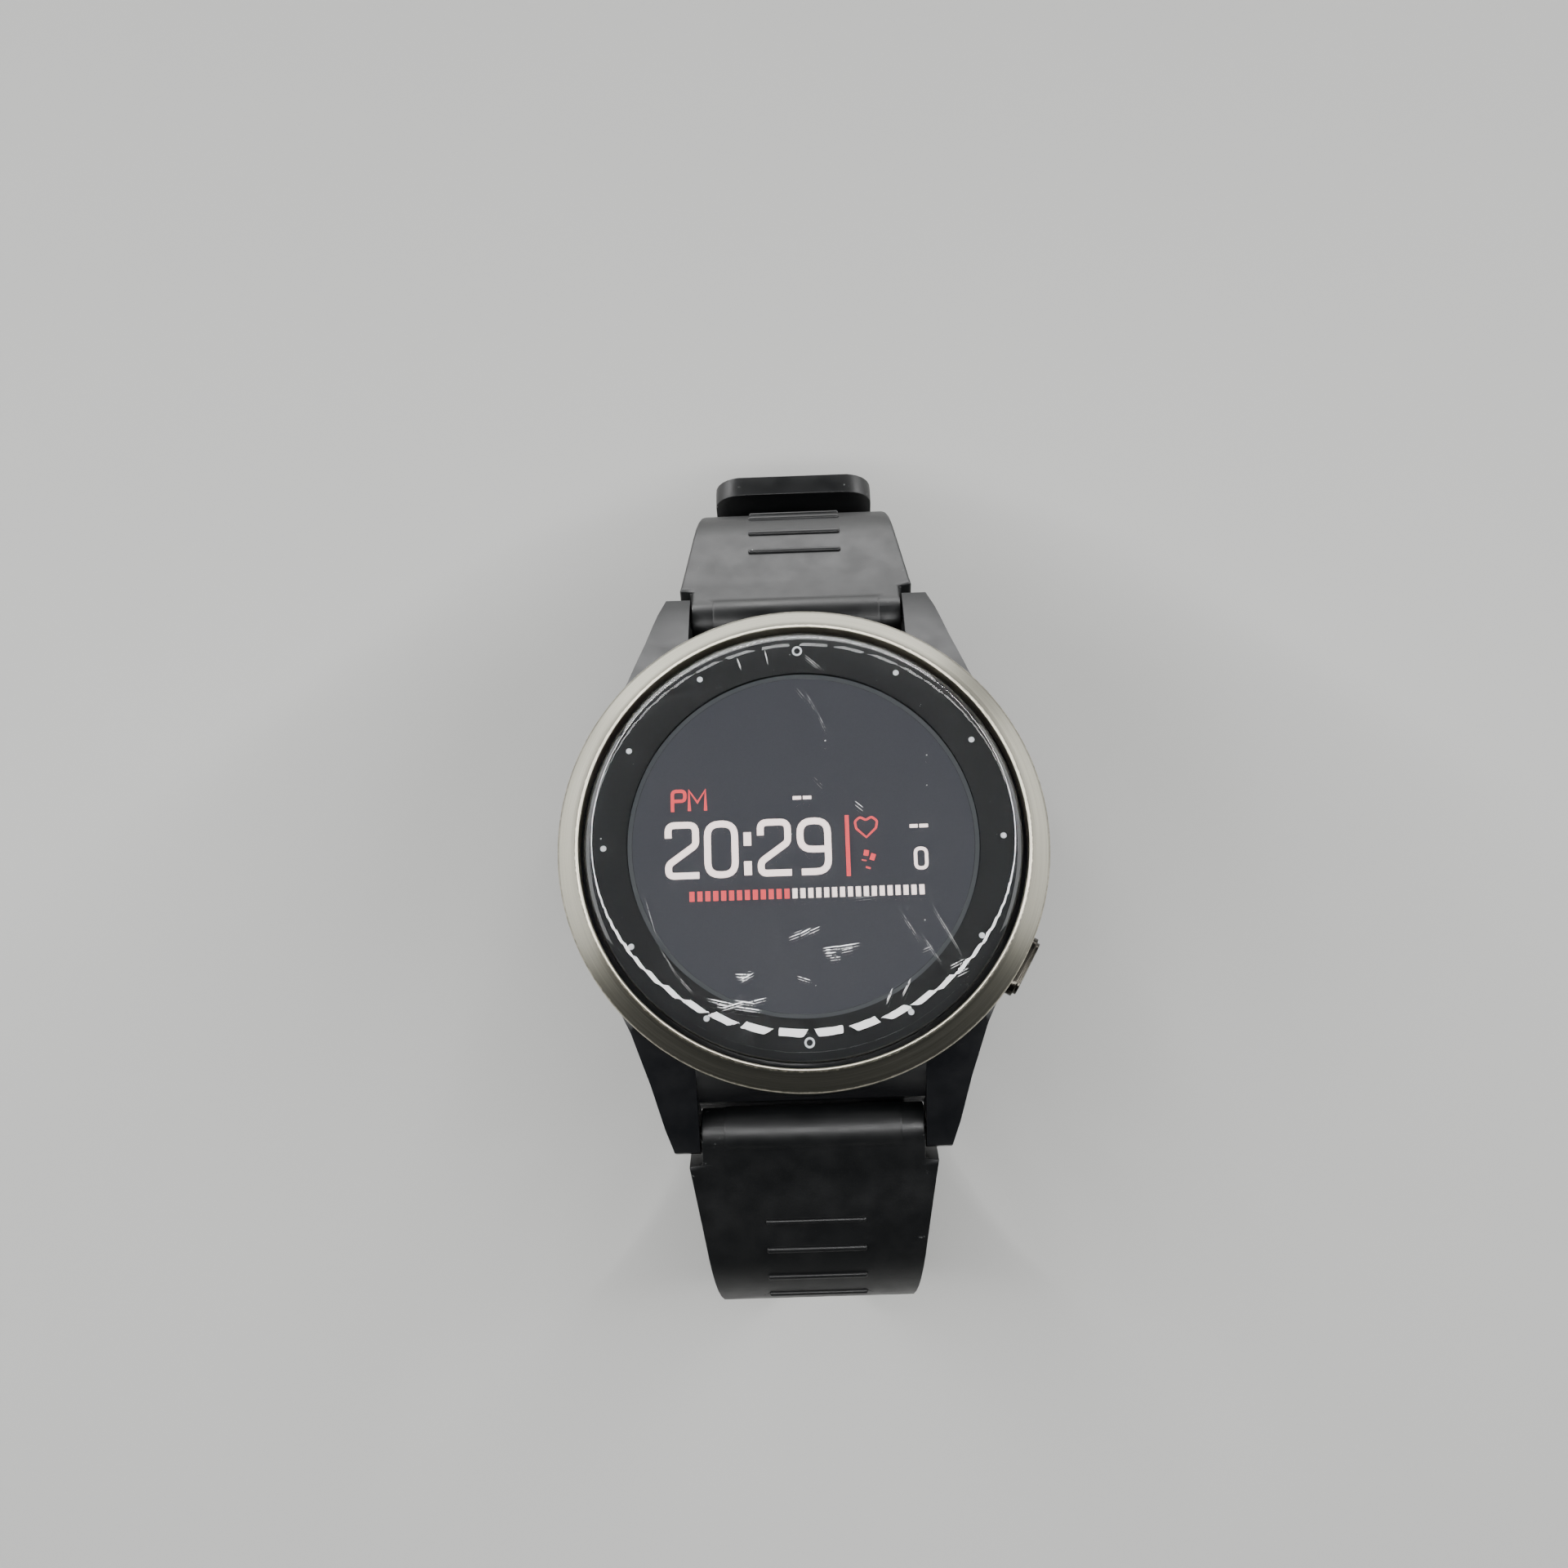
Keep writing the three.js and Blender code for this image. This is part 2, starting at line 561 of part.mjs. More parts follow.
// Spring bar: a tube with one fixed tip; the other tip slides in with its release lever
function springBar() {
  return join(rodAlongX(BAR_R, -4.6, 9.3), rodAlongX(BAR_TIP_R, 9, BAR_TIP_X));
}

function releaseLever(route) {
  const knob = disc(0.6, -2.8, -0.3, SMALL_ROUND).translate(-7, 0, 0);
  const tip = rodAlongX(BAR_TIP_R, -BAR_TIP_X, -9);
  return ontoRoute(join(rodAlongX(BAR_R, -9.3, -6.2), tip, knob), route, 0);
}

function roundedFrame(halfWidth, low, high, radius) {
  const shape = new THREE.Shape();
  shape.absarc(halfWidth - radius, low + radius, radius, -Math.PI / 2, 0);
  shape.absarc(halfWidth - radius, high - radius, radius, 0, Math.PI / 2);
  shape.absarc(radius - halfWidth, high - radius, radius, Math.PI / 2, Math.PI);
  shape.absarc(radius - halfWidth, low + radius, radius, Math.PI, 1.5 * Math.PI);
  return shape;
}

// Keeper: a rectangular loop round the strap with room for the tail on its outer side
function keeper(long) {
  const outer = roundedFrame(STRAP_WIDTH / 2 + 1.5, -2.5, 4.8, 1.3);
  outer.holes.push(roundedFrame(STRAP_WIDTH / 2 + GAP, -1.4, 3.7, 0.5));
  const options = { depth: long, bevelEnabled: false, curveSegments: 4 };
  const loop = new THREE.ExtrudeGeometry(outer, options);
  return loop.rotateX(Math.PI / 2).translate(0, long / 2, 0);
}

// Buckle: a frame with two bored arms and a crossbar, and a tongue that lies over the crossbar
function buckleFrame() {
  const half = BUCKLE_WIDTH / 2;
  const corner = 3;
  const plan = new THREE.Shape();
  plan.moveTo(-half, -BUCKLE_EYE_R);
  plan.lineTo(half, -BUCKLE_EYE_R);
  plan.absarc(half - corner, BUCKLE_LENGTH - corner, corner, 0, Math.PI / 2);
  plan.absarc(corner - half, BUCKLE_LENGTH - corner, corner, Math.PI / 2, Math.PI);
  const options = { depth: BUCKLE_THICKNESS, bevelEnabled: false, curveSegments: 6 };
  const plate = new THREE.ExtrudeGeometry(plan, options).translate(0, 0, -BUCKLE_THICKNESS / 2);
  const opening = block(-9.1, 9.1, -3, BUCKLE_LENGTH - 1.9, -2, 2);
  const eyes = rodAlongX(BUCKLE_EYE_R, -half, half, 16);
  const bores = rodAlongX(BAR_HOLE_R, 0.5 - half, half - 0.5);
  return cut(join(plate, eyes), opening, bores);
}

function buckleTongue() {
  const under = [[0, 0.2], [3, 0.4], [7.2, 1.2], [9.3, 1.2], [10.2, 1.5]];
  const over = [[9.8, 2.1], [8.8, 2.25], [3, 1.6], [0, 1.4]];
  const blade = sidePlate([...under, ...over], -TONGUE_HALF, TONGUE_HALF);
  const eye = rodAlongX(1.45, -TONGUE_HALF, TONGUE_HALF, 16);
  return cut(join(blade, eye), rodAlongX(SLEEVE_BORE_R, -2, 2));
}

function buckleBar() {
  return join(rodAlongX(BAR_R, -8.8, 8.8), rodAlongX(BAR_TIP_R, -9.9, 9.9));
}

function buildStrap() {
  const buckleAt = routeLength(BUCKLE_HALF_ROUTE);
  const onBuckleHalf = (geometry, distance) => ontoRoute(geometry, BUCKLE_HALF_ROUTE, distance);
  const twelve = new THREE.Group();
  twelve.add(
    named('strap_buckle_half', buckleHalf(), rubberBlack),
    named('spring_bar_twelve', onBuckleHalf(springBar(), 0), steel),
    named('release_lever_twelve', releaseLever(BUCKLE_HALF_ROUTE), steel),
    named('fixed_keeper', onBuckleHalf(keeper(4.5), buckleAt - 6), rubberBlack),
    named('sliding_keeper', onBuckleHalf(keeper(5), buckleAt - 20), rubberBlack),
    named('buckle_bar', onBuckleHalf(buckleBar(), buckleAt), steel),
    named('buckle_frame', onBuckleHalf(buckleFrame(), buckleAt), darkSteel),
    named('buckle_tongue', onBuckleHalf(buckleTongue(), buckleAt), darkSteel),
  );
  const six = new THREE.Group();
  six.rotation.z = Math.PI;
  six.add(
    named('strap_hole_half', holeHalf(), rubberBlack),
    named('spring_bar_six', ontoRoute(springBar(), HOLE_HALF_ROUTE, 0), steel),
    named('release_lever_six', releaseLever(HOLE_HALF_ROUTE), steel),
  );
  return [twelve, six];
}

const watch = new THREE.Group();
watch.add(...caseShellParts(), ...insideParts(), ...buttonParts(), ...buildStrap());

export default watch;
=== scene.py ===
import math
import bpy
from mathutils import Matrix, Vector


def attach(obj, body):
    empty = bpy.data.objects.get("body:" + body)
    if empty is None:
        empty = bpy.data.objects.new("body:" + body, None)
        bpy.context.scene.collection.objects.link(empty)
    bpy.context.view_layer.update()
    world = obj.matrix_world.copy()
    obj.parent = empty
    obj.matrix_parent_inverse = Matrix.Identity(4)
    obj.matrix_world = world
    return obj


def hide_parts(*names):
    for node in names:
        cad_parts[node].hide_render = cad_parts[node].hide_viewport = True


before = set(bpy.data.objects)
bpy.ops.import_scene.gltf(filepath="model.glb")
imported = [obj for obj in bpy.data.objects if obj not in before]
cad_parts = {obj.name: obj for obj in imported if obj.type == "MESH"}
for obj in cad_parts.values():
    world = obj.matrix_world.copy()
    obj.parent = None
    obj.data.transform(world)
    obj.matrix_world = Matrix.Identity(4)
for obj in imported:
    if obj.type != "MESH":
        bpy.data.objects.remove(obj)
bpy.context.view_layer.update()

# ---------------------------------------------------------------------------------------------
# Case. One injection moulding in glass-filled black polymer: a round shell with four sloping
# lugs. The mould is spark eroded, so the faces are matt, and the edges are slightly rounded.
# All sizes here and below are in millimetres; a finished piece is scaled to metres.
MM = 0.001


def colour(code):
    """The linear colour of an sRGB hex value."""
    parts = [int(code[i:i + 2], 16) / 255 for i in (1, 3, 5)]
    linear = [c / 12.92 if c <= 0.04045 else ((c + 0.055) / 1.055) ** 2.4 for c in parts]
    return (*linear, 1.0)


def new_finish(name, base, roughness, metallic=0.0, **sockets):
    """A material whose surface starts from plain values, and its shader."""
    material = bpy.data.materials.new(name)
    material.use_nodes = True
    shader = material.node_tree.nodes["Principled BSDF"]
    shader.inputs["Base Color"].default_value = colour(base)
    shader.inputs["Roughness"].default_value = roughness
    shader.inputs["Metallic"].default_value = metallic
    for socket, value in sockets.items():
        shader.inputs[socket.replace("_", " ")].default_value = value
    return material, shader


def add(material, kind, inputs=None, feeds=None, **settings):
    """Adds a node with its settings. Each input is a value or another node's output, and
    feeds is the socket that the node's first output goes to. Gives back that output."""
    node = material.node_tree.nodes.new(kind)
    for setting, value in settings.items():
        setattr(node, setting, value)
    for socket, value in (inputs or {}).items():
        if isinstance(value, bpy.types.NodeSocket):
            material.node_tree.links.new(value, node.inputs[socket])
        else:
            node.inputs[socket].default_value = value
    result = node.outputs[0]
    if node.bl_idname == "ShaderNodeMix":
        result = node.outputs["Result"] if node.data_type == "FLOAT" else node.outputs[2]
    if node.bl_idname == "ShaderNodeTexCoord":
        result = node.outputs["Object"]
    if feeds is not None:
        material.node_tree.links.new(result, feeds)
    return result


def grained(material, shader, size, depth, rough, spread):
    """Grain of one size in mm: it lifts the surface by depth mm and varies the roughness."""
    place = add(material, "ShaderNodeTexCoord")
    grain = add(material, "ShaderNodeTexNoise",
                {"Vector": place, "Scale": 1 / (size * MM), "Detail": 2.0})
    add(material, "ShaderNodeBump", {"Height": grain, "Distance": depth * MM},
        feeds=shader.inputs["Normal"])
    patch = add(material, "ShaderNodeTexNoise",
                {"Vector": place, "Scale": 1 / (size * 12 * MM), "Detail": 3.0})
    add(material, "ShaderNodeMapRange",
        {"Value": patch, "From Min": 0.3, "From Max": 0.7,
         "To Min": rough - spread, "To Max": rough + spread}, feeds=shader.inputs["Roughness"])
    return patch


def specks(material, spacing, size, share):
    """Mask of small ragged dots, size mm across and about spacing mm apart."""
    place = add(material, "ShaderNodeTexCoord")
    shift = add(material, "ShaderNodeTexNoise", {"Vector": place, "Scale": 1 / (size * MM)})
    ragged = add(material, "ShaderNodeVectorMath",
                 {0: add(material, "ShaderNodeVectorMath", {0: place, "Scale": 1 / (spacing * MM)},
                         operation="SCALE"),
                  1: add(material, "ShaderNodeVectorMath",
                         {0: add(material, "ShaderNodeCombineXYZ", {"X": shift, "Y": shift}),
                          "Scale": size / spacing}, operation="SCALE")}, operation="ADD")
    cells = add(material, "ShaderNodeTexVoronoi", {"Vector": ragged, "Scale": 1.0}).node
    near = add(material, "ShaderNodeMapRange",
               {"Value": cells.outputs["Distance"], "From Min": size / spacing / 2,
                "From Max": size / spacing / 3, "To Min": 0.0, "To Max": 1.0})
    chosen = add(material, "ShaderNodeMath",
                 {0: cells.outputs["Color"], 1: 1 - share}, operation="GREATER_THAN")
    return add(material, "ShaderNodeMath", {0: near, 1: chosen}, operation="MULTIPLY")


def tinted(material, base, other, share, feeds=None):
    """Mixes two colours, or one and another node's colour, by a share or mask."""
    pair = [c if isinstance(c, bpy.types.NodeSocket) else colour(c) for c in (base, other)]
    return add(material, "ShaderNodeMix", {"Factor": share, 6: pair[0], 7: pair[1]}, feeds=feeds,
               data_type="RGBA")


def select_only(piece):
    """Selects one piece, and makes it the active one."""
    bpy.ops.object.select_all(action="DESELECT")
    piece.select_set(True)
    bpy.context.view_layer.objects.active = piece


def modified(piece, kind, **settings):
    """Puts one modifier on a piece and applies it."""
    select_only(piece)
    modifier = piece.modifiers.new(kind.title(), kind)
    for setting, value in settings.items():
        setattr(modifier, setting, value)
    bpy.ops.object.modifier_apply(modifier=modifier.name)
    return piece


def smoothed(piece, angle=35):
    """Shades a piece smooth where its faces meet at less than an angle in degrees."""
    select_only(piece)
    bpy.ops.object.shade_smooth_by_angle(angle=math.radians(angle))
    return piece


def edge_broken(node, name, width, segments=2, angle=32):
    """The node's own shape as a piece in mm, its triangles merged into faces and its sharp
    edges rounded to width mm, as a mould or a tumbling barrel leaves them."""
    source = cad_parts[node]
    piece = bpy.data.objects.new(name, source.data.copy())
    piece.data.materials.clear()
    bpy.context.scene.collection.objects.link(piece)
    piece.data.transform(Matrix.Scale(1 / MM, 4))
    select_only(piece)
    bpy.ops.object.mode_set(mode="EDIT")
    bpy.ops.mesh.select_all(action="SELECT")
    bpy.ops.mesh.remove_doubles(threshold=0.002)
    bpy.ops.mesh.dissolve_limited(angle_limit=math.radians(0.5))
    bpy.ops.object.mode_set(mode="OBJECT")
    if "custom_normal" in piece.data.attributes:
        piece.data.attributes.remove(piece.data.attributes["custom_normal"])
    if width:
        modified(piece, "BEVEL", width=width, segments=segments, limit_method="ANGLE",
                 angle_limit=math.radians(angle), harden_normals=False)
    return smoothed(piece, 25)


def settled(piece, material, slot, body, *nodes):
    """A finished piece, scaled to metres: its material, its body and the nodes it stands for."""
    piece.data.transform(Matrix.Scale(MM, 4))
    piece.data.materials.clear()
    piece.data.materials.append(material)
    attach(piece, body)
    if nodes:
        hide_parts(*nodes)
    return piece


# Glass-filled nylon from a spark-eroded mould: a dry satin black, with fine even grain, a few
# pale rubs and specks of dust that lie in the grain
case_polymer, shader = new_finish("moulded_glass_filled_nylon", "#06070a", 0.42,
                                    Specular_IOR_Level=0.4)
patch = grained(case_polymer, shader, size=0.16, depth=0.006, rough=0.4, spread=0.05)
ground = tinted(case_polymer, "#050609", "#08090c", patch)
tinted(case_polymer, ground, "#85878a", specks(case_polymer, 1.9, 0.14, 0.14),
       feeds=shader.inputs["Base Color"])
settled(edge_broken("mid_case", "case_moulding", width=0.22), case_polymer, "case_black", "case",
        "mid_case")

# ---------------------------------------------------------------------------------------------
# Back. A moulded cover ring held by four slotted screws on a seal, with a dark domed sensor
# window in its middle and two gold-plated charging contacts.
cover_polymer, shader = new_finish("moulded_fibre_filled_polymer", "#2f3032", 0.55)
patch = grained(cover_polymer, shader, size=0.22, depth=0.008, rough=0.55, spread=0.05)
tinted(cover_polymer, "#2b2c2e", "#363739", patch, feeds=shader.inputs["Base Color"])
settled(edge_broken("back_cover", "back_ring", width=0.15), cover_polymer, "frame_grey", "case",
        "back_cover")

# Nitrile cord and gaskets: dead black, slightly greasy
seal_rubber, shader = new_finish("moulded_nitrile_rubber", "#101112", 0.6)
grained(seal_rubber, shader, size=0.1, depth=0.003, rough=0.6, spread=0.08)
settled(edge_broken("back_seal", "back_gasket", width=0.1), seal_rubber, "seal", "case",
        "back_seal")

# Polished smoked polycarbonate: nearly black, with a faint green cast and fine wipe marks
smoked_window, shader = new_finish("smoked_polycarbonate", "#101613", 0.08, Coat_Weight=0.6)
place = add(smoked_window, "ShaderNodeTexCoord")
wipes = add(smoked_window, "ShaderNodeTexNoise",
            {"Vector": place, "Scale": 1 / (0.4 * MM), "Detail": 4.0, "Distortion": 1.5})
add(smoked_window, "ShaderNodeMapRange",
    {"Value": wipes, "From Min": 0.45, "From Max": 0.8, "To Min": 0.06, "To Max": 0.2},
    feeds=shader.inputs["Roughness"])
settled(edge_broken("sensor_window", "sensor_lens", width=0.08, angle=50), smoked_window,
        "glass", "case", "sensor_window")

# Blackened screws: dark, with the turned face a little brighter where the driver slipped
blackened_steel, shader = new_finish("blackened_steel", "#4a4b4e", 0.34, metallic=1.0)
patch = grained(blackened_steel, shader, size=0.12, depth=0.002, rough=0.34, spread=0.08)
tinted(blackened_steel, "#3c3d40", "#5c5d60", patch, feeds=shader.inputs["Base Color"])
for number in range(1, 5):
    settled(edge_broken(f"back_screw_{number}", f"cover_screw_{number}", width=0.05),
            blackened_steel, "dark_steel", "case", f"back_screw_{number}")

# Hard gold plate: warm, bright, with rubbed rings where the charger's pins touch
gold_plate, shader = new_finish("hard_gold_plate", "#c9a24a", 0.25, metallic=1.0)
patch = grained(gold_plate, shader, size=0.06, depth=0.001, rough=0.25, spread=0.08)
tinted(gold_plate, "#b88f3c", "#d8b662", patch, feeds=shader.inputs["Base Color"])
for side in ("left", "right"):
    settled(edge_broken(f"charge_contact_{side}", f"charging_pad_{side}", width=0.08), gold_plate,
            "gold", "case", f"charge_contact_{side}")

# ---------------------------------------------------------------------------------------------
# Inside the case. A carrier ring holds the cell and the board; the display rests on its own
# frame. They are punched, etched or moulded parts, hidden in use, each in its own finish.
settled(edge_broken("inner_frame", "carrier_ring", width=0.1), cover_polymer, "frame_grey",
        "case", "inner_frame")
settled(edge_broken("display_frame", "display_carrier", width=0.1), cover_polymer, "frame_grey",
        "case", "display_frame")
settled(edge_broken("glass_gasket", "glass_seal", width=0.1), seal_rubber, "seal", "case",
        "glass_gasket")

# Solder mask over copper: deep green, with paler tracks 0.5 mm apart
board_mask, shader = new_finish("soldermask_on_fibreglass", "#1f4a33", 0.4)
place = add(board_mask, "ShaderNodeTexCoord")
tracks = add(board_mask, "ShaderNodeTexBrick",
             {"Vector": place, "Scale": 1 / (2.0 * MM), "Mortar Size": 0.03, "Color1": (1, 1, 1, 1),
              "Color2": (0.8, 0.8, 0.8, 1), "Mortar": (0, 0, 0, 1)})
tinted(board_mask, "#357350", "#1b4330", tracks, feeds=shader.inputs["Base Color"])
for node, name in (("main_board", "logic_board"), ("sensor_board", "sensor_circuit")):
    settled(edge_broken(node, name, width=0.05), board_mask, "board", "case", node)

# Aluminium-laminate pouch: pale satin silver, faintly crinkled
pouch_foil, shader = new_finish("aluminium_laminate_pouch", "#9a9c9f", 0.4, metallic=0.6)
patch = grained(pouch_foil, shader, size=0.8, depth=0.03, rough=0.38, spread=0.08)
tinted(pouch_foil, "#8e9093", "#a8aaad", patch, feeds=shader.inputs["Base Color"])
settled(edge_broken("battery", "pouch_cell", width=0.5, segments=3), pouch_foil, "cell", "case",
        "battery")

# Turned stainless steel: bright, with fine tool lines that break up its highlights
turned_steel, shader = new_finish("turned_stainless_steel", "#9a9b9e", 0.28, metallic=1.0)
patch = grained(turned_steel, shader, size=0.08, depth=0.002, rough=0.27, spread=0.07)
tinted(turned_steel, "#8a8b8e", "#a6a7aa", patch, feeds=shader.inputs["Base Color"])
for node, name, width in (("vibration_motor", "buzzer", 0.2), ("button_bush", "stem_bush", 0.05),
                          ("button_switch", "dome_switch", 0.1)):
    settled(edge_broken(node, name, width), turned_steel, "steel", "case", node)
settled(edge_broken("button_seal", "stem_seal", width=0.08), seal_rubber, "seal", "case",
        "button_seal")

# ---------------------------------------------------------------------------------------------
# Side button. A pill-shaped steel pusher at four o'clock, polished and coated black, on a stem
# that a clip holds behind its bush.
button_coat, shader = new_finish("polished_black_coated_steel", "#3a3833", 0.22, metallic=1.0)
patch = grained(button_coat, shader, size=0.3, depth=0.002, rough=0.2, spread=0.07)
tinted(button_coat, "#2f2d2a", "#494640", patch, feeds=shader.inputs["Base Color"])
settled(edge_broken("side_button", "pusher", width=0.15, segments=3), button_coat,
        "button_gloss", "button", "side_button")
settled(edge_broken("button_clip", "stem_clip", width=0.06), turned_steel, "steel", "button",
        "button_clip")

# ---------------------------------------------------------------------------------------------
# Bezel. A steel ring turned to a shallow cone, brushed round its circumference and coated
# gunmetal. The coating has worn through to bright steel along the inner edge and in nicks.
BEZEL_RISE = [(19.8, 41.4), (21.72, 41.4), (21.8, 41.48), (21.8, 42.16), (21.75, 42.27),
              (21.64, 42.38), (21.5, 42.49), (20.6, 43.1), (20.18, 43.42), (20.08, 43.52),
              (20.0, 43.62), (19.94, 43.655), (19.88, 43.65), (19.82, 43.6), (19.8, 43.5)]


def turned(name, profile, steps=192, closed=True):
    """Turns a profile of (radius, height) points in mm, as on a lathe: a circle is extruded
    and scaled from each point to the next, and closed into a ring or capped at both ends."""
    start, height = profile[0]
    bpy.ops.object.select_all(action="DESELECT")
    bpy.ops.mesh.primitive_circle_add(vertices=steps, radius=start, location=(0, 0, height),
                                      fill_type="NOTHING" if closed else "NGON")
    piece = bpy.context.object
    piece.name = name
    bpy.ops.object.transform_apply(location=True)
    bpy.ops.object.mode_set(mode="EDIT")
    bpy.ops.mesh.select_mode(type="EDGE")
    bpy.ops.mesh.select_all(action="SELECT")
    path = profile + profile[:1] if closed else profile
    for (here, low), (there, high) in zip(path, path[1:]):
        bpy.ops.mesh.extrude_edges_move(TRANSFORM_OT_translate={"value": (0, 0, high - low)})
        bpy.ops.transform.resize(value=(there / here, there / here, 1),
                                 center_override=(0, 0, 0))
    if not closed:
        bpy.ops.mesh.edge_face_add()
    bpy.ops.mesh.select_all(action="SELECT")
    bpy.ops.mesh.remove_doubles(threshold=0.0005)
    bpy.ops.mesh.normals_make_consistent(inside=False)
    bpy.ops.object.mode_set(mode="OBJECT")
    return piece


# Radii between which the wear at the inner edge and the painted highlight at the outer edge fade,
# and heights for the outer one
INNER_WEAR, OUTER_HIGHLIGHT, OUTER_HIGHLIGHT_Z = (20.12, 20.04), (21.68, 21.78), (42.05, 42.2)

# Brushed steel under a worn gunmetal coating: long fine lines round the ring, warm grey with a hint
# of brown, and a bright ragged line where sleeves have rubbed the inner edge. The pale line along
# the rounded outer edge is a painted highlight.
gunmetal_coat, shader = new_finish("brushed_gunmetal_coated_steel", "#8f887b", 0.3, metallic=1.0)
place = add(gunmetal_coat, "ShaderNodeTexCoord")
flat_place = add(gunmetal_coat, "ShaderNodeVectorMath", {0: place, 1: (1, 1, 0)},
                 operation="MULTIPLY")
radius = add(gunmetal_coat, "ShaderNodeVectorMath", {0: flat_place},
             operation="LENGTH").node.outputs["Value"]
lines_at = add(gunmetal_coat, "ShaderNodeVectorMath",
               {0: add(gunmetal_coat, "ShaderNodeVectorMath",
                       {0: flat_place, "Scale": 1 / (12 * MM)}, operation="SCALE"),
                1: add(gunmetal_coat, "ShaderNodeCombineXYZ",
                       {"Z": add(gunmetal_coat, "ShaderNodeMath", {0: radius, 1: 1 / (0.05 * MM)},
                                 operation="MULTIPLY")})}, operation="ADD")
lines = add(gunmetal_coat, "ShaderNodeTexNoise",
            {"Vector": lines_at, "Scale": 1.0, "Detail": 4.0, "Roughness": 0.7})
ragged_edge_noise = add(gunmetal_coat, "ShaderNodeTexNoise",
            {"Vector": place, "Scale": 1 / (0.5 * MM), "Detail": 4.0, "Roughness": 0.7})
ragged = add(gunmetal_coat, "ShaderNodeMath",
             {0: add(gunmetal_coat, "ShaderNodeMath", {0: ragged_edge_noise, 1: 0.5}, operation="SUBTRACT"),
              1: 0.35 * MM, 2: radius}, operation="MULTIPLY_ADD")
inner_wear = add(gunmetal_coat, "ShaderNodeMapRange",
                 {"Value": ragged, "From Min": INNER_WEAR[0] * MM,
                  "From Max": INNER_WEAR[1] * MM, "To Min": 0.0, "To Max": 1.0})
height = add(gunmetal_coat, "ShaderNodeVectorMath", {0: place, 1: (0, 0, 1)},
             operation="DOT_PRODUCT").node.outputs["Value"]
# Painted highlight: a pale band along the rounded outer top edge, standing in for light caught
# there
painted_outer_highlight = add(gunmetal_coat, "ShaderNodeMath",
                 {0: add(gunmetal_coat, "ShaderNodeMapRange",
                         {"Value": ragged, "From Min": OUTER_HIGHLIGHT[0] * MM,
                          "From Max": OUTER_HIGHLIGHT[1] * MM, "To Min": 0.0, "To Max": 0.5}),
                  1: add(gunmetal_coat, "ShaderNodeMapRange",
                         {"Value": height, "From Min": OUTER_HIGHLIGHT_Z[0] * MM,
                          "From Max": OUTER_HIGHLIGHT_Z[1] * MM, "To Min": 0.0, "To Max": 1.0})},
                 operation="MULTIPLY")
# Bright steel where the coat is worn at the inner edge and in nicks, plus the painted highlight on
# the outer edge
wear_and_painted_highlight = add(gunmetal_coat, "ShaderNodeMath",
           {0: add(gunmetal_coat, "ShaderNodeMath", {0: inner_wear, 1: painted_outer_highlight},
                   operation="MAXIMUM"),
            1: specks(gunmetal_coat, 2.4, 0.16, 0.2)}, operation="MAXIMUM")
coat = tinted(gunmetal_coat, "#646258", "#98968b", lines)
tinted(gunmetal_coat, coat, "#efe8d4", wear_and_painted_highlight, feeds=shader.inputs["Base Color"])
add(gunmetal_coat, "ShaderNodeMapRange",
    {"Value": lines, "From Min": 0.3, "From Max": 0.7, "To Min": 0.28, "To Max": 0.36},
    feeds=shader.inputs["Roughness"])
add(gunmetal_coat, "ShaderNodeBump",
    {"Height": add(gunmetal_coat, "ShaderNodeMath", {0: lines, 1: wear_and_painted_highlight}, operation="SUBTRACT"),
     "Distance": 0.002 * MM}, feeds=shader.inputs["Normal"])
settled(smoothed(turned("bezel", BEZEL_RISE, steps=256), 40), gunmetal_coat, "gunmetal", "case",
        "bezel_ring")

# ---------------------------------------------------------------------------------------------
# Display. A round panel under the glass: its active area is a grey glow edged by a paler line,
# and the clock, the heart, the steps and the progress bar light up on it.
PANEL = [(0.6, 41.1), (16.5, 41.1), (16.6, 41.2), (16.6, 42.3), (16.5, 42.4), (0.6, 42.4)]
ACTIVE_R = 15.0
SHEET_Z = 42.43
GRAPHIC_Z = 42.5
GRAPHIC_DEPTH = 0.02

panel_glass, shader = new_finish("display_cell_glass", "#191a1d", 0.2)
grained(panel_glass, shader, size=0.3, depth=0.001, rough=0.2, spread=0.04)
settled(smoothed(turned("display_cell", PANEL, closed=False), 30), panel_glass, "panel", "case",
        "display_panel")


def glowing(name, code, strength):
    """A lit area of the display: its colour glows, faintly uneven from cell to cell."""
    material, shader = new_finish(name, "#0b0b0c", 0.5)
    place = add(material, "ShaderNodeTexCoord")
    grid = add(material, "ShaderNodeTexNoise",
               {"Vector": place, "Scale": 1 / (0.13 * MM), "Detail": 1.0})
    dim = "#" + "".join(f"{int(int(code[i:i + 2], 16) * 0.93):02x}" for i in (1, 3, 5))
    tinted(material, dim, code, grid, feeds=shader.inputs["Emission Color"])
    shader.inputs["Emission Strength"].default_value = strength
    return material


ACTIVE = [(0.5, SHEET_Z - 0.02), (ACTIVE_R, SHEET_Z - 0.02), (ACTIVE_R, SHEET_Z),
          (0.5, SHEET_Z)]
RIM = [(ACTIVE_R + 0.02, SHEET_Z - 0.02), (ACTIVE_R + 0.4, SHEET_Z - 0.02),
       (ACTIVE_R + 0.4, SHEET_Z), (ACTIVE_R + 0.02, SHEET_Z)]
backlight = glowing("display_ground_glow", "#41434b", 1.0)
rim_glow = glowing("display_rim_glow", "#4b4f52", 1.0)
settled(turned("display_ground", ACTIVE, closed=False), backlight, "panel", "case")
settled(turned("display_rim", RIM), rim_glow, "panel", "case")


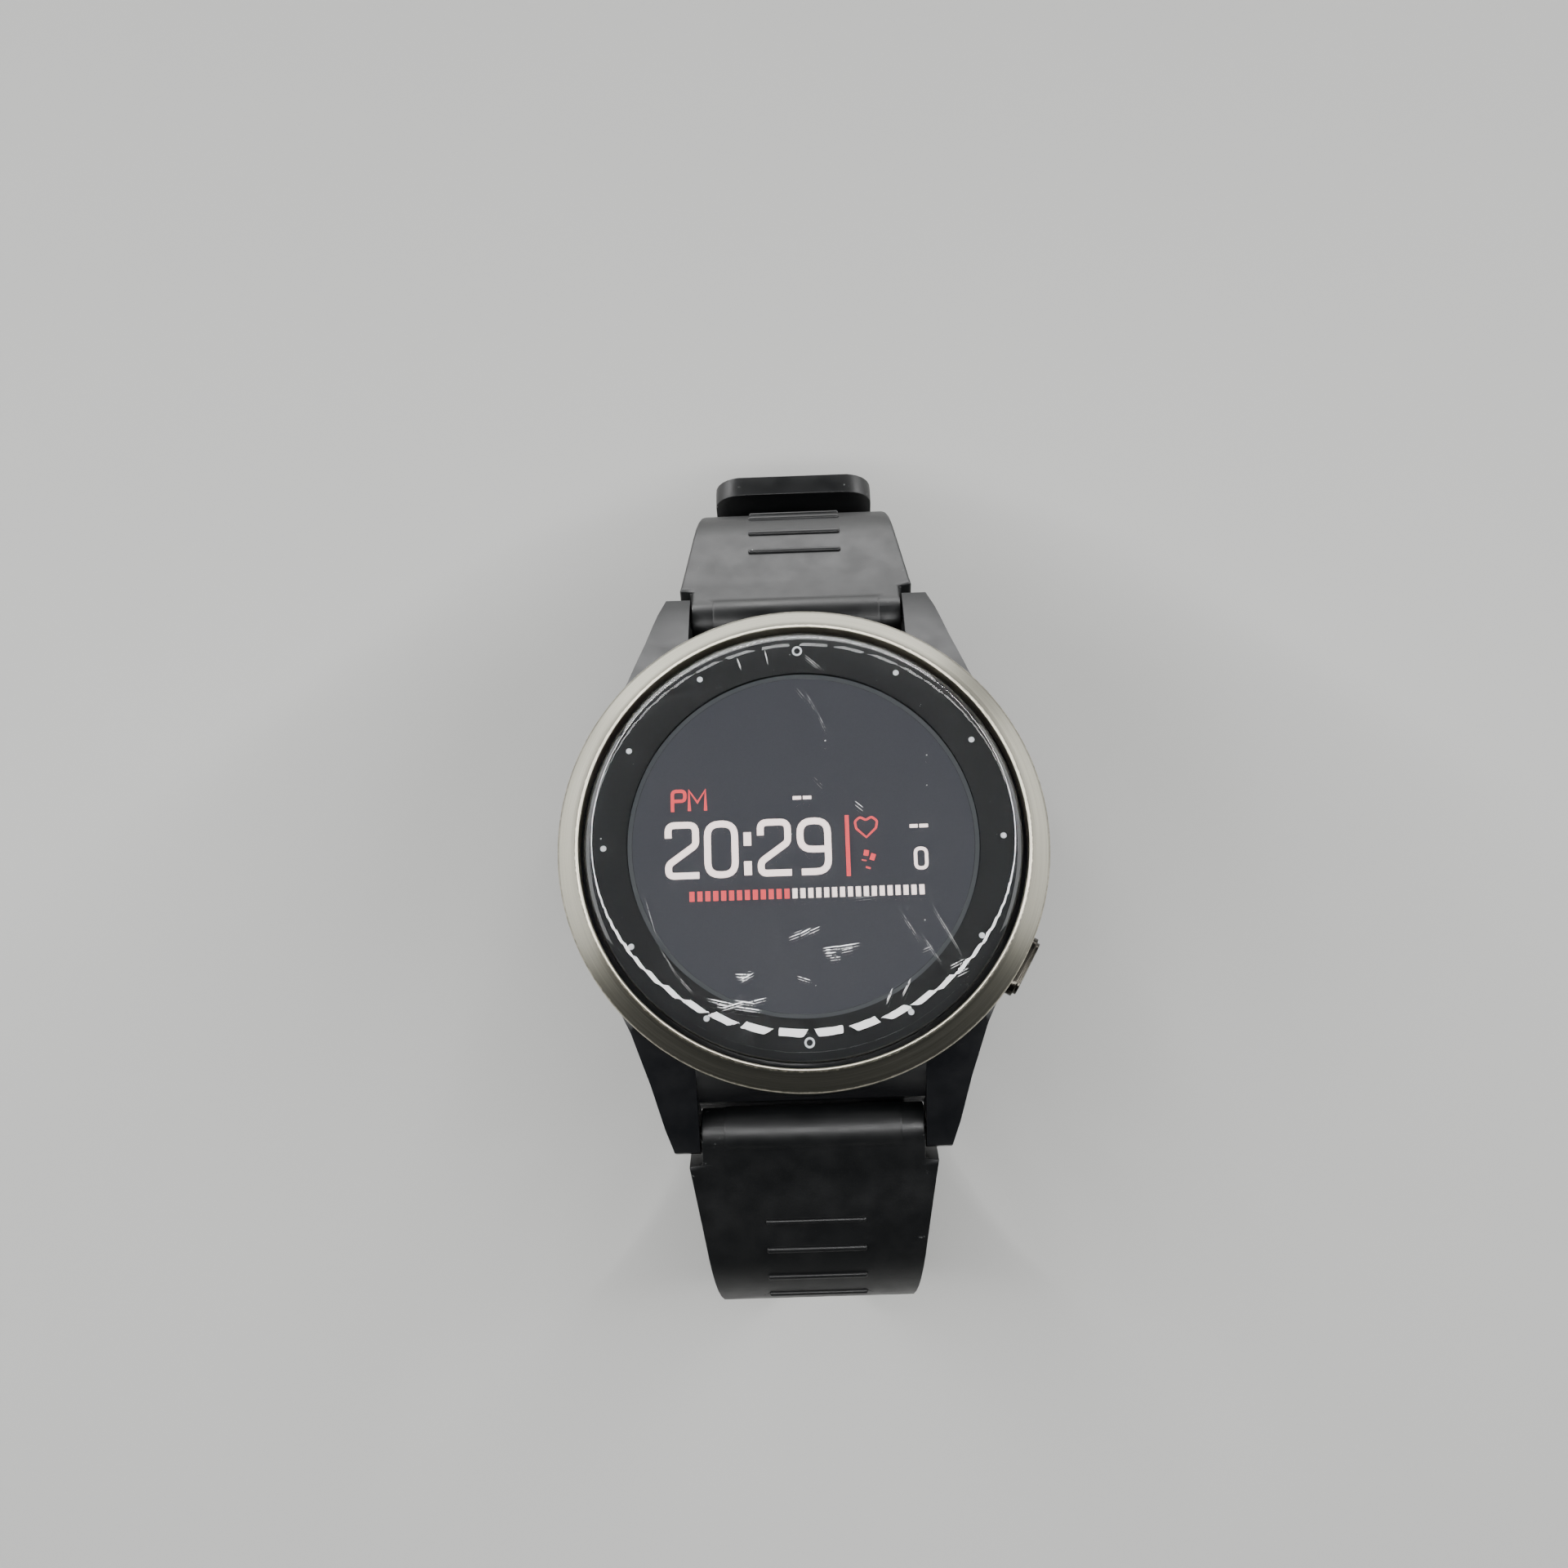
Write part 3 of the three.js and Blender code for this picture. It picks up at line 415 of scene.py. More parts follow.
def rounded(points, radius, arc=5):
    """A polyline of (x, y) with its inner corners rounded to radius."""
    path = [Vector(points[0])]
    for before, corner, after in zip(points, points[1:], points[2:]):
        corner = Vector(corner)
        to_before, to_after = Vector(before) - corner, Vector(after) - corner
        half = to_before.angle(to_after) / 2
        reach = min(radius / math.tan(half), to_before.length / 2, to_after.length / 2)
        start, end = (corner + v.normalized() * reach for v in (to_before, to_after))
        for i in range(arc + 1):
            t = i / arc
            path.append(start * (1 - t) ** 2 + corner * 2 * t * (1 - t) + end * t ** 2)
    return path + [Vector(points[-1])]


def strokes(name, lines, width, height=GRAPHIC_Z):
    """Pen strokes of one width along flat paths, as a thin flat mesh."""
    curve = bpy.data.curves.new(name, "CURVE")
    curve.dimensions = "3D"
    curve.bevel_depth = width / 2
    curve.bevel_resolution = 1
    curve.use_fill_caps = True
    for line in lines:
        closed = (line[0] - line[-1]).length < 1e-6
        points = line[:-1] if closed else line
        spline = curve.splines.new("POLY")
        spline.points.add(len(points) - 1)
        for point, (x, y) in zip(spline.points, points):
            point.co = (x, y, 0, 1)
        spline.use_cyclic_u = closed
    piece = bpy.data.objects.new(name, curve)
    bpy.context.scene.collection.objects.link(piece)
    select_only(piece)
    bpy.ops.object.convert(target="MESH")
    piece = bpy.context.object
    flat = Matrix.Diagonal((1, 1, GRAPHIC_DEPTH / width, 1))
    piece.data.transform(Matrix.Translation((0, 0, height)) @ flat)
    return piece


def digit(shape, left, bottom, width, height, stroke):
    """The strokes of one figure in its box: rounded two-storey figures of a sports clock."""
    x0, x1 = left + stroke / 2, left + width - stroke / 2
    y0, y1 = bottom + stroke / 2, bottom + height - stroke / 2
    corner = width * 0.36
    if shape == "0":
        middle = (x0, (y0 + y1) / 2)
        loop = [middle, (x0, y1), (x1, y1), (x1, y0), (x0, y0), middle]
        return [rounded(loop, corner)]
    if shape == "2":
        return [rounded([(x0, y0 + height * 0.66), (x0, y1), (x1, y1), (x1, y0 + height * 0.53),
                         (x0, y0 + height * 0.2), (x0, y0), (x1 + stroke * 0.45, y0)],
                        corner * 0.62)]
    waist = y0 + height * 0.39
    join = (x1, waist)
    bowl = [join, (x0, waist), (x0, y1), (x1, y1), (x1, y0), (x0 + stroke * 0.1, y0)]
    return [rounded(bowl, corner)]


CLOCK_STROKE = 0.6
CLOCK = [("2", -12.15, 3.0), ("0", -8.71, 3.0), ("2", -4.04, 3.0), ("9", -0.56, 3.03)]
clock_lines = []
for shape, left, width in CLOCK:
    clock_lines += digit(shape, left, -2.92, width, 5.15, CLOCK_STROKE)
clock_glow = glowing("display_clock_glow", "#f6e4e0", 2.8)
red_glow = glowing("display_red_glow", "#e8484e", 2.0)
settled(strokes("clock_figures", clock_lines, CLOCK_STROKE), clock_glow, "panel", "case")
colon = [[Vector((-4.9, 1.1)), Vector((-4.9, -0.1))], [Vector((-4.9, -1.5)), Vector((-4.9, -2.75))]]
settled(strokes("clock_colon", colon, 0.68), clock_glow, "panel", "case")
P_LINE = rounded([(-11.42, 3.16), (-11.42, 5.02), (-10.32, 5.02), (-10.32, 4.12), (-11.42, 4.12)],
                 0.35)
M_LINE = [Vector(p) for p in ((-9.95, 3.2), (-9.95, 5.05), (-9.23, 3.95), (-8.52, 5.05),
                              (-8.52, 3.2))]
settled(strokes("half_day_letters", [P_LINE, M_LINE], 0.3), red_glow, "panel", "case")
settled(strokes("divider", [[Vector((3.9, 2.35)), Vector((3.9, -3.12))]], 0.36), red_glow,
        "panel", "case")
HEART = [(5.57, 0.3), (4.7, 1.12), (4.6, 1.75), (5.05, 2.15), (5.57, 1.85), (6.09, 2.15),
         (6.56, 1.75), (6.44, 1.12), (5.57, 0.3)]
settled(strokes("heart_outline", [rounded(HEART, 0.3)], 0.2), red_glow,
        "panel", "case")
SOLES = [[(5.55, -0.85), (5.45, -1.35)], [(5.3, -1.7), (5.28, -1.8)],
         [(6.15, -1.2), (5.95, -1.75)], [(5.65, -2.35), (5.6, -2.5)]]
settled(strokes("step_soles", [[Vector(p) for p in line] for line in SOLES], 0.44), red_glow,
        "panel", "case")
DASHES = [[(-0.8, 4.07), (-0.05, 4.07)], [(0.1, 4.07), (0.85, 4.07)],
          [(9.4, 1.18), (10.1, 1.18)], [(10.25, 1.18), (11.0, 1.18)]]
readings = [[Vector(p) for p in line] for line in DASHES]
settled(strokes("reading_dashes", readings, 0.32), clock_glow, "panel", "case")
settled(strokes("reading_figure", digit("0", 9.65, -2.75, 1.25, 2.05, 0.3), 0.3), clock_glow,
        "panel", "case")

BAR_LEFT, BAR_Y, BAR_PITCH, BAR_COUNT, BAR_DONE = -10.1, -4.5, 0.692, 30, 13
BAR_SIZE = (0.44, 0.88)
for name, first, count, glow in (("progress_done", 0, BAR_DONE, red_glow),
                                 ("progress_left", BAR_DONE, BAR_COUNT - BAR_DONE, clock_glow)):
    bpy.ops.object.select_all(action="DESELECT")
    at = BAR_LEFT + (first + 0.5) * BAR_PITCH - 0.1
    bpy.ops.mesh.primitive_cube_add(size=1, location=(at, BAR_Y, GRAPHIC_Z),
                                    scale=(*BAR_SIZE, GRAPHIC_DEPTH))
    bar = bpy.context.object
    bar.name = name
    bpy.ops.object.transform_apply(location=True, rotation=True, scale=True)
    modified(bar, "BEVEL", width=0.06, segments=2, limit_method="ANGLE", affect="EDGES")
    modified(bar, "ARRAY", count=count, use_relative_offset=False, use_constant_offset=True,
             constant_offset_displace=(BAR_PITCH, 0, 0))
    settled(bar, glow, "panel", "case")

# ---------------------------------------------------------------------------------------------
# Glass. A chemically strengthened cover, almost flat over the display and rolled down at its
# rim. Its underside carries a black printed border and twelve white hour marks.
BORDER = [(15.45, 42.9), (19.05, 42.9), (19.05, 42.94), (15.45, 42.94)]
MARK_R = 17.46
MARK_Z = 42.97
RIM_R = 19.3
DOME = [(19.3, 43.45), (18.9, 44.4), (16.5, 44.95), (10.0, 45.05)]

printed_black, shader = new_finish("screen_printed_black_ink", "#0b0f11", 0.5)
grained(printed_black, shader, size=0.2, depth=0.001, rough=0.5, spread=0.05)
settled(turned("printed_border", BORDER), printed_black, "panel", "case")

# Painted light: the white ink glows faintly, standing in for the lamp light it would catch under
# the glass
printed_white_with_painted_glow, shader = new_finish("screen_printed_white_ink_painted_glow", "#dfe3e6", 0.6,
                                   Emission_Color=colour("#dfe3e6"), Emission_Strength=0.55)
patch = grained(printed_white_with_painted_glow, shader, size=0.1, depth=0.001, rough=0.6, spread=0.05)
tinted(printed_white_with_painted_glow, "#cfd4d8", "#e6e9eb", patch, feeds=shader.inputs["Base Color"])


def ring_path(radius, centre, steps=24):
    """The corners of a circle, closed on its first one."""
    turns = [i * math.tau / steps for i in range(steps)] + [0]
    return [Vector((centre[0] + radius * math.cos(a), centre[1] + radius * math.sin(a)))
            for a in turns]


marks = []
for hour in range(12):
    angle = math.radians(30 * hour)
    centre = (MARK_R * math.sin(angle), MARK_R * math.cos(angle))
    if hour in (0, 6):
        marks.append((f"hour_ring_{hour}", ring_path(0.36, centre), 0.18))
    else:
        marks.append((f"hour_dot_{hour}", ring_path(0.13, centre, 12), 0.27))
for name, path, width in marks:
    mark = strokes(name, [path], width, MARK_Z)
    settled(mark, printed_white_with_painted_glow, "panel", "case")


def oval_share(material, place, centre, half_size, turn=0.0):
    """How far a point is from a centre, as a share of an oval's half sizes in mm."""
    local = add(material, "ShaderNodeMapping",
                {"Vector": place, "Location": [c * MM for c in centre], "Rotation": (0, 0, turn),
                 "Scale": [half * MM for half in half_size]}, vector_type="TEXTURE")
    return add(material, "ShaderNodeVectorMath", {0: local},
               operation="LENGTH").node.outputs["Value"]


# Aluminosilicate glass, polished: clear and glossy. Handling has left white bruises of many
# fine parallel strokes, single hairlines, chips like dust, and scuffs by the twelve o'clock rim
cover_glass, shader = new_finish("strengthened_aluminosilicate_glass", "#ffffff", 0.0, IOR=1.5,
                                 Transmission_Weight=1.0)
# The two ends of each scratch's middle line, and its width
SCRATCHES = [(-1.56, -8.75, -0.3, -8.3, 0.1), (-0.7, -8.5, 0.5, -7.9, 0.12),
             (0.1, -8.3, 1.29, -7.8, 0.09), (-1.2, -8.4, -0.2, -8.05, 0.06),
             (1.3, -9.75, 2.9, -9.55, 0.1), (2.2, -9.7, 4.74, -9.35, 0.12),
             (1.5, -10.2, 2.6, -10.1, 0.12), (2.9, -9.98, 4.1, -9.75, 0.08),
             (1.9, -10.6, 3.0, -10.5, 0.08), (1.6, -9.9, 2.1, -9.85, 0.14),
             (-6.3, -11.7, -4.67, -11.8, 0.12), (-5.9, -12.3, -4.5, -11.6, 0.1),
             (-6.1, -12.0, -5.1, -12.05, 0.1), (-5.4, -11.55, -4.7, -11.5, 0.06),
             (-8.68, -13.67, -6.2, -14.3, 0.12), (-6.6, -14.4, -3.83, -14.9, 0.12),
             (-7.6, -14.6, -5.2, -14.0, 0.14), (-5.4, -14.2, -3.45, -13.8, 0.1),
             (-6.4, -13.9, -4.4, -14.3, 0.12), (-7.9, -14.2, -6.9, -14.4, 0.09),
             (-0.95, -12.03, 0.42, -12.5, 0.08),
             (0.7, 13.2, 1.5, 11.7, 0.05), (1.6, 11.5, 2.4, 9.6, 0.05),
             (-0.3, 13.9, 0.9, 12.3, 0.03),
             (10.86, -6.03, 13.43, -10.74, 0.05), (9.9, -8.6, 11.6, -11.4, 0.04),
             (0.45, 17.1, 2.36, 15.3, 0.05), (0.6, 16.7, 1.9, 15.6, 0.05),
             (8.2, -6.6, 9.8, -9.4, 0.04), (6.3, -5.3, 4.1, -5.45, 0.04),
             (9.8, -10.2, 11.0, -9.7, 0.05), (-11.5, -11.2, -9.7, -13.3, 0.05),
             (-12.6, -9.2, -11.2, -11.6, 0.04), (1.0, 5.6, 2.0, 4.5, 0.04),
             (4.6, 3.2, 5.4, 2.5, 0.08), (-13.9, -4.6, -12.9, -8.2, 0.04),
             (6.6, -14.6, 7.3, -13.2, 0.08), (8.0, -14.0, 8.9, -12.4, 0.08),
             (12.2, -11.6, 13.6, -10.9, 0.09), (12.7, -12.3, 13.9, -11.7, 0.09),
             (-2.9, 17.6, -2.6, 16.2, 0.07), (-5.4, 16.9, -5.0, 15.8, 0.08)]
HAIRLINE = 0.06  # a scratch no wider than this is faint
HAIR_STRENGTH = 0.4
ANY_HEIGHT = 1000  # a scratch's mask takes no notice of height
place = add(cover_glass, "ShaderNodeTexCoord")
worn = specks(cover_glass, 0.8, 0.14, 0.1)
skips = add(cover_glass, "ShaderNodeMapRange",
            {"Value": add(cover_glass, "ShaderNodeTexNoise",
                          {"Vector": place, "Scale": 1 / (0.35 * MM), "Detail": 3.0}),
             "From Min": 0.38, "From Max": 0.5, "To Min": 0.25, "To Max": 1.0})
for x0, y0, x1, y1, width in SCRATCHES:
    centre = ((x0 + x1) / 2, (y0 + y1) / 2, 0)
    half_size = (math.hypot(x1 - x0, y1 - y0) / 2, width / 2, ANY_HEIGHT)
    away = oval_share(cover_glass, place, centre, half_size, math.atan2(y1 - y0, x1 - x0))
    stroke = add(cover_glass, "ShaderNodeMapRange",
                 {"Value": away, "From Min": 1.0, "From Max": 0.6, "To Min": 0.0,
                  "To Max": HAIR_STRENGTH if width <= HAIRLINE else 1.0})
    stroke = add(cover_glass, "ShaderNodeMath", {0: stroke, 1: skips}, operation="MULTIPLY")
    worn = add(cover_glass, "ShaderNodeMath", {0: worn, 1: stroke}, operation="MAXIMUM")
scuffs = specks(cover_glass, 0.5, 0.1, 0.2)
# Centre and half sizes of the scuffed patch
RIM_SCUFF_AT, RIM_SCUFF_HALF = (-3, 17.6, 44), (9, 1.8, 3)
upper_rim = oval_share(cover_glass, place, RIM_SCUFF_AT, RIM_SCUFF_HALF)
near_rim = add(cover_glass, "ShaderNodeMapRange",
               {"Value": upper_rim, "From Min": 1.0, "From Max": 0.8, "To Min": 0.0,
                "To Max": 0.7})
scuffs = add(cover_glass, "ShaderNodeMath", {0: scuffs, 1: near_rim}, operation="MULTIPLY")
worn = add(cover_glass, "ShaderNodeMath", {0: worn, 1: scuffs}, operation="MAXIMUM")
add(cover_glass, "ShaderNodeMapRange",
    {"Value": worn, "From Min": 0.0, "From Max": 1.0, "To Min": 1.0, "To Max": 0.0},
    feeds=shader.inputs["Transmission Weight"])
add(cover_glass, "ShaderNodeMapRange",
    {"Value": worn, "From Min": 0.0, "From Max": 1.0, "To Min": 0.0, "To Max": 0.5},
    feeds=shader.inputs["Roughness"])

dome = []
for i in range(19):
    t = i / 18
    weights = ((1 - t) ** 3, 3 * t * (1 - t) ** 2, 3 * t ** 2 * (1 - t), t ** 3)
    dome.append(tuple(sum(w * p[axis] for w, p in zip(weights, DOME)) for axis in (0, 1)))
GLASS = [(0.6, 43.0), (15.0, 43.0), (RIM_R - 0.15, 43.0), (RIM_R - 0.04, 43.04), (RIM_R, 43.15),
         *dome, (5.0, 45.085), (0.6, 45.1)]
settled(smoothed(turned("cover_dome", GLASS, steps=256, closed=False), 60), cover_glass, "glass",
        "case", "cover_glass")

# ---------------------------------------------------------------------------------------------
# Strap. Two halves moulded in black polyurethane elastomer. Each is moulded flat round a sleeve
# for the spring bar, with four low ribs on its outer face, and then bends under the case.
PIVOT_Y, PIVOT_Z = 24.1, 33.2
SLOPE = 28
LUG_STRAIGHT, LUG_BEND_R, UNDER_R, REST_LENGTH = 10.6, 8.2, 30.9, 24
# A stretch of a route: its length if straight, or its radius, and the degrees it turns
FIRST = [(LUG_STRAIGHT, None, 0), (None, LUG_BEND_R, 90 - SLOPE)]
bend_fall = (LUG_STRAIGHT * math.sin(math.radians(SLOPE))
             + LUG_BEND_R * math.cos(math.radians(SLOPE)))
side_fall = PIVOT_Z - 1 - bend_fall - UNDER_R * (1 - math.cos(math.radians(40)))
HOLE_ROUTE = FIRST + [(None, side_fall / math.sin(math.radians(50)), 50), (None, UNDER_R, 40),
                      (REST_LENGTH, None, 0), (None, 39.2, 40), (None, 15.4, 50)]
BUCKLE_ROUTE = FIRST + [(None, 12.4, 105), (32, None, 0)]
END_WIDTH, SHOULDER_WIDTH, WIDTH, TAIL_WIDTH = 19.9, 22.4, 17.5, 16.2
SHOULDER_AT, SHOULDERS_END, TAPER_LENGTH = 2.5, 20, 70
SHOULDER_LENGTH = 17
TAIL_CORNER = 3.0
EYE_LENGTH, THINNING_LENGTH, ROW_PITCH = 4, 18, 1.35
SLEEVE_R, SLEEVE_HALF, SLEEVE_END_R, BORE_R, BUCKLE_EYE_R = 2.2, 8, 2.1, 1.05, 1.65
EYE_THICKNESS, ROOT_THICKNESS, HOLE_THICKNESS, BUCKLE_THICKNESS = 4.2, 3.2, 2.0, 2.2
RIB_FIRST, RIB_PITCH, RIB_COUNT = 8.3, 2.77, 4
RIB_SIZE = (9.1, 0.5, 0.9)
RIB_PROUD = 0.26


def length_of(stretch):
    """Length of a stretch of a route, in mm."""
    length, radius, turn = stretch
    return length if radius is None else radius * math.radians(turn)


def along(route, distance):
    """Place on a route at a distance from the spring bar: y, z and the slope in radians."""
    y, z, slope = PIVOT_Y, PIVOT_Z, math.radians(SLOPE)
    left = distance
    for i, stretch in enumerate(route):
        whole = length_of(stretch)
        step = left if i == len(route) - 1 else min(left, whole)
        radius = stretch[1]
        if radius is None:
            y, z = y + step * math.cos(slope), z - step * math.sin(slope)
        else:
            after = slope + step / radius
            y += radius * (math.sin(after) - math.sin(slope))
            z += radius * (math.cos(after) - math.cos(slope))
            slope = after
        left -= step
        if left <= 0:
            break
    return y, z, slope


def between(low, high, share):
    """A value part of the way from low to high, and no further than either."""
    return low + (high - low) * min(max(share, 0.0), 1.0)


def strap_width(distance, length, tail):
    """Width at a distance from the spring bar: shoulders, a taper, and a tail's rounded end."""
    if distance < SHOULDER_AT:
        return END_WIDTH
    width = between(SHOULDER_WIDTH, WIDTH, (distance - SHOULDER_AT) / SHOULDER_LENGTH)
    if tail and distance > SHOULDERS_END:
        width = between(WIDTH, TAIL_WIDTH, (distance - SHOULDERS_END) / TAPER_LENGTH)
    if tail:
        past = between(0, TAIL_CORNER, (TAIL_CORNER - (length - distance)) / TAIL_CORNER)
        width -= 2 * (TAIL_CORNER - math.sqrt(TAIL_CORNER ** 2 - past ** 2))
    return width


def strap_thickness(distance, thin):
    """Thickness at a distance from the spring bar, down to thin."""
    if distance < EYE_LENGTH:
        return between(EYE_THICKNESS, ROOT_THICKNESS, distance / EYE_LENGTH)
    return between(ROOT_THICKNESS, thin, (distance - EYE_LENGTH) / THINNING_LENGTH)


def stations(length, tail):
    """Distances of the rows of points along a strap, closer where its outline turns."""
    even = int((length - EYE_LENGTH) / ROW_PITCH)
    last = length - (TAIL_CORNER if tail else 0)
    body = [EYE_LENGTH + (last - EYE_LENGTH) * i / even for i in range(even + 1)]
    tip = [length - left for left in (2.3, 1.6, 1.0, 0.55, 0.25, 0.08, 0.0)] if tail else []
    return [0.0, 1.2, SHOULDER_AT - 0.12, SHOULDER_AT + 0.12, 3.2] + body + tip


def strap_blank(name, route, tail, thin):
    """The flat strap, y along it and z out of its outer face: a grid stretched to the outline,
    thickened and rounded along its edges."""
    length = sum(length_of(stretch) for stretch in route)
    rows = stations(length, tail)
    bpy.ops.object.select_all(action="DESELECT")
    bpy.ops.mesh.primitive_grid_add(x_subdivisions=14, y_subdivisions=len(rows) - 1, size=2)
    piece = bpy.context.object
    piece.name = name
    bpy.ops.object.mode_set(mode="EDIT")
    bpy.ops.mesh.select_all(action="SELECT")
    bpy.ops.mesh.extrude_region_move(TRANSFORM_OT_translate={"value": (0, 0, 1)})
    bpy.ops.mesh.select_all(action="SELECT")
    bpy.ops.mesh.normals_make_consistent(inside=False)
    bpy.ops.object.mode_set(mode="OBJECT")
    for vertex in piece.data.vertices:
        x, y, z = vertex.co
        at = rows[round((y + 1) / 2 * (len(rows) - 1))]
        thick = strap_thickness(at, thin)
        vertex.co = (x * strap_width(at, length, tail) / 2, at, (z - 0.5) * thick)
    return modified(piece, "BEVEL", width=0.55, segments=3, limit_method="ANGLE",
                    angle_limit=math.radians(50))


def rod(radius, half_length, at, sides=40, edge=0.0):
    """A round bar across the strap, centred at a distance along it."""
    bpy.ops.object.select_all(action="DESELECT")
    bpy.ops.mesh.primitive_cylinder_add(vertices=sides, radius=radius, depth=2 * half_length,
                                        location=(0, at, 0), rotation=(0, math.pi / 2, 0))
    bpy.ops.object.transform_apply(location=True, rotation=True, scale=True)
    piece = bpy.context.object
    if edge:
        modified(piece, "BEVEL", width=edge, segments=2, limit_method="ANGLE",
                 angle_limit=math.radians(50))
    return piece


def brick(size, at, edge=0.0):
    """A block across the strap, centred at (x, y, z), with its edges rounded."""
    bpy.ops.object.select_all(action="DESELECT")
    bpy.ops.mesh.primitive_cube_add(size=1, location=at, scale=size)
    bpy.ops.object.transform_apply(location=True, rotation=True, scale=True)
    piece = bpy.context.object
    if edge:
        modified(piece, "BEVEL", width=edge, segments=3, limit_method="ANGLE",
                 angle_limit=math.radians(50))
    return piece


def combined(piece, operation, tools):
    """Joins tools to a piece, or cuts them out of it, and removes the tools."""
    for tool in tools:
        modified(piece, "BOOLEAN", operation=operation, solver="EXACT", object=tool)
        bpy.data.objects.remove(tool)
    return piece


def with_sleeve_and_ribs(piece, thin):
    """Adds the sleeve round the spring bar, its bore and lever slot, and the four ribs."""
    ribs = []
    for i in range(RIB_COUNT):
        at = RIB_FIRST + i * RIB_PITCH
        thick = strap_thickness(at, thin)
        ribs.append(brick(RIB_SIZE, (0, at, thick / 2 + RIB_PROUD - RIB_SIZE[2] / 2), 0.2))
    combined(piece, "UNION", [rod(SLEEVE_END_R, END_WIDTH / 2, 0, edge=0.2),
                              rod(SLEEVE_R, SLEEVE_HALF, 0, edge=0.3)])
    combined(piece, "UNION", ribs)
    slot = brick((4.0, 1.9, 4.0), (-6.3, 0, -2.0))
    return combined(piece, "DIFFERENCE", [rod(BORE_R, 12, 0), slot])


def laid(piece, route, half_turn):
    """Bends a flat strap onto its route, and turns it to the six o'clock side if asked. The
    attribute rub says how near a point is to the strap's edges, where it wears first."""
    length = sum(length_of(stretch) for stretch in route)
    rub = piece.data.attributes.new("rub", "FLOAT", "POINT")
    for vertex in piece.data.vertices:
        x, distance, out = vertex.co
        half = strap_width(max(distance, 0.0), length, half_turn) / 2
        rub.data[vertex.index].value = between(0, 1, (abs(x) - half + 0.6) / 0.45)
        y, z, slope = along(route, distance)
        y, z = y + out * math.sin(slope), z + out * math.cos(slope)
        vertex.co = (-x, -y, z) if half_turn else (x, y, z)
    piece.data.update()
    return piece


# Moulded polyurethane elastomer: matt black that greys in raking light, with a fine grain,
# lint caught in it and pale rubs on the crests
strap_rubber, shader = new_finish("moulded_polyurethane_elastomer", "#050608", 0.42,
                                    Specular_IOR_Level=0.45)
patch = grained(strap_rubber, shader, size=0.2, depth=0.006, rough=0.43, spread=0.05)
ground = tinted(strap_rubber, "#040506", "#08090a", patch)
place = add(strap_rubber, "ShaderNodeTexCoord")
edge = add(strap_rubber, "ShaderNodeAttribute", attribute_name="rub").node
chipping = add(strap_rubber, "ShaderNodeTexNoise",
               {"Vector": place, "Scale": 1 / (0.9 * MM), "Detail": 4.0, "Roughness": 0.65})
chipped = add(strap_rubber, "ShaderNodeMapRange",
              {"Value": chipping, "From Min": 0.66, "From Max": 0.72, "To Min": 0.0, "To Max": 1.0})
chipped = add(strap_rubber, "ShaderNodeMath", {0: chipped, 1: edge.outputs["Fac"]},
              operation="MULTIPLY")
ground = tinted(strap_rubber, ground, "#5c5e5e", chipped)
tinted(strap_rubber, ground, "#c4c6c4", specks(strap_rubber, 1.3, 0.17, 0.14),
       feeds=shader.inputs["Base Color"])

hole_strap = with_sleeve_and_ribs(
    strap_blank("strap_with_holes", HOLE_ROUTE, tail=True, thin=HOLE_THICKNESS), HOLE_THICKNESS)
HOLE_PITCH, HOLE_COUNT = 6, 9
rest_middle = sum(length_of(stretch) for stretch in HOLE_ROUTE[:4]) + REST_LENGTH / 2
FIRST_HOLE = rest_middle - 3.5 * HOLE_PITCH
PUNCH = [(0.2, -2.0), (1.5, -2.0), (1.5, -1.1), (1.32, -0.96), (1.1, -0.8), (1.1, 0.8),
         (1.32, 0.96), (1.5, 1.1), (1.5, 2.0), (0.2, 2.0)]
punches = []
for i in range(HOLE_COUNT):
    punch = turned(f"punch_{i}", PUNCH, steps=32, closed=False)
    punch.data.transform(Matrix.Translation((0, FIRST_HOLE + HOLE_PITCH * i, 0)))
    punches.append(punch)
combined(hole_strap, "DIFFERENCE", punches)
settled(smoothed(laid(hole_strap, HOLE_ROUTE, half_turn=True), 40), strap_rubber, "rubber",
        "hole_half", "strap_hole_half")

buckle_length = sum(length_of(stretch) for stretch in BUCKLE_ROUTE)
buckle_strap = with_sleeve_and_ribs(
    strap_blank("strap_with_buckle", BUCKLE_ROUTE, tail=False, thin=BUCKLE_THICKNESS),
    BUCKLE_THICKNESS)
combined(buckle_strap, "UNION", [rod(BUCKLE_EYE_R, WIDTH / 2, buckle_length, edge=0.25)])
combined(buckle_strap, "DIFFERENCE", [rod(BORE_R, 12, buckle_length),
                                      brick((3.4, 5.4, 6.0), (0, buckle_length + 0.3, 0), 0.3)])
settled(smoothed(laid(buckle_strap, BUCKLE_ROUTE, half_turn=False), 40), strap_rubber, "rubber",
        "buckle_half", "strap_buckle_half")

for node, name, body in (("fixed_keeper", "keeper_loop", "buckle_half"),
                         ("sliding_keeper", "free_loop", "keeper")):
    settled(edge_broken(node, name, width=0.4, segments=3), strap_rubber, "rubber", body, node)

# ---------------------------------------------------------------------------------------------
# Spring bars and their release levers, of turned stainless steel.
for node, name, body in (("spring_bar_twelve", "bar_at_twelve", "buckle_half"),
                         ("spring_bar_six", "bar_at_six", "hole_half"),
                         ("release_lever_twelve", "lever_at_twelve", "lever_twelve"),
                         ("release_lever_six", "lever_at_six", "lever_six"),
                         ("buckle_bar", "bar_in_buckle", "buckle_half")):
    settled(edge_broken(node, name, width=0.08), turned_steel, "steel", body, node)

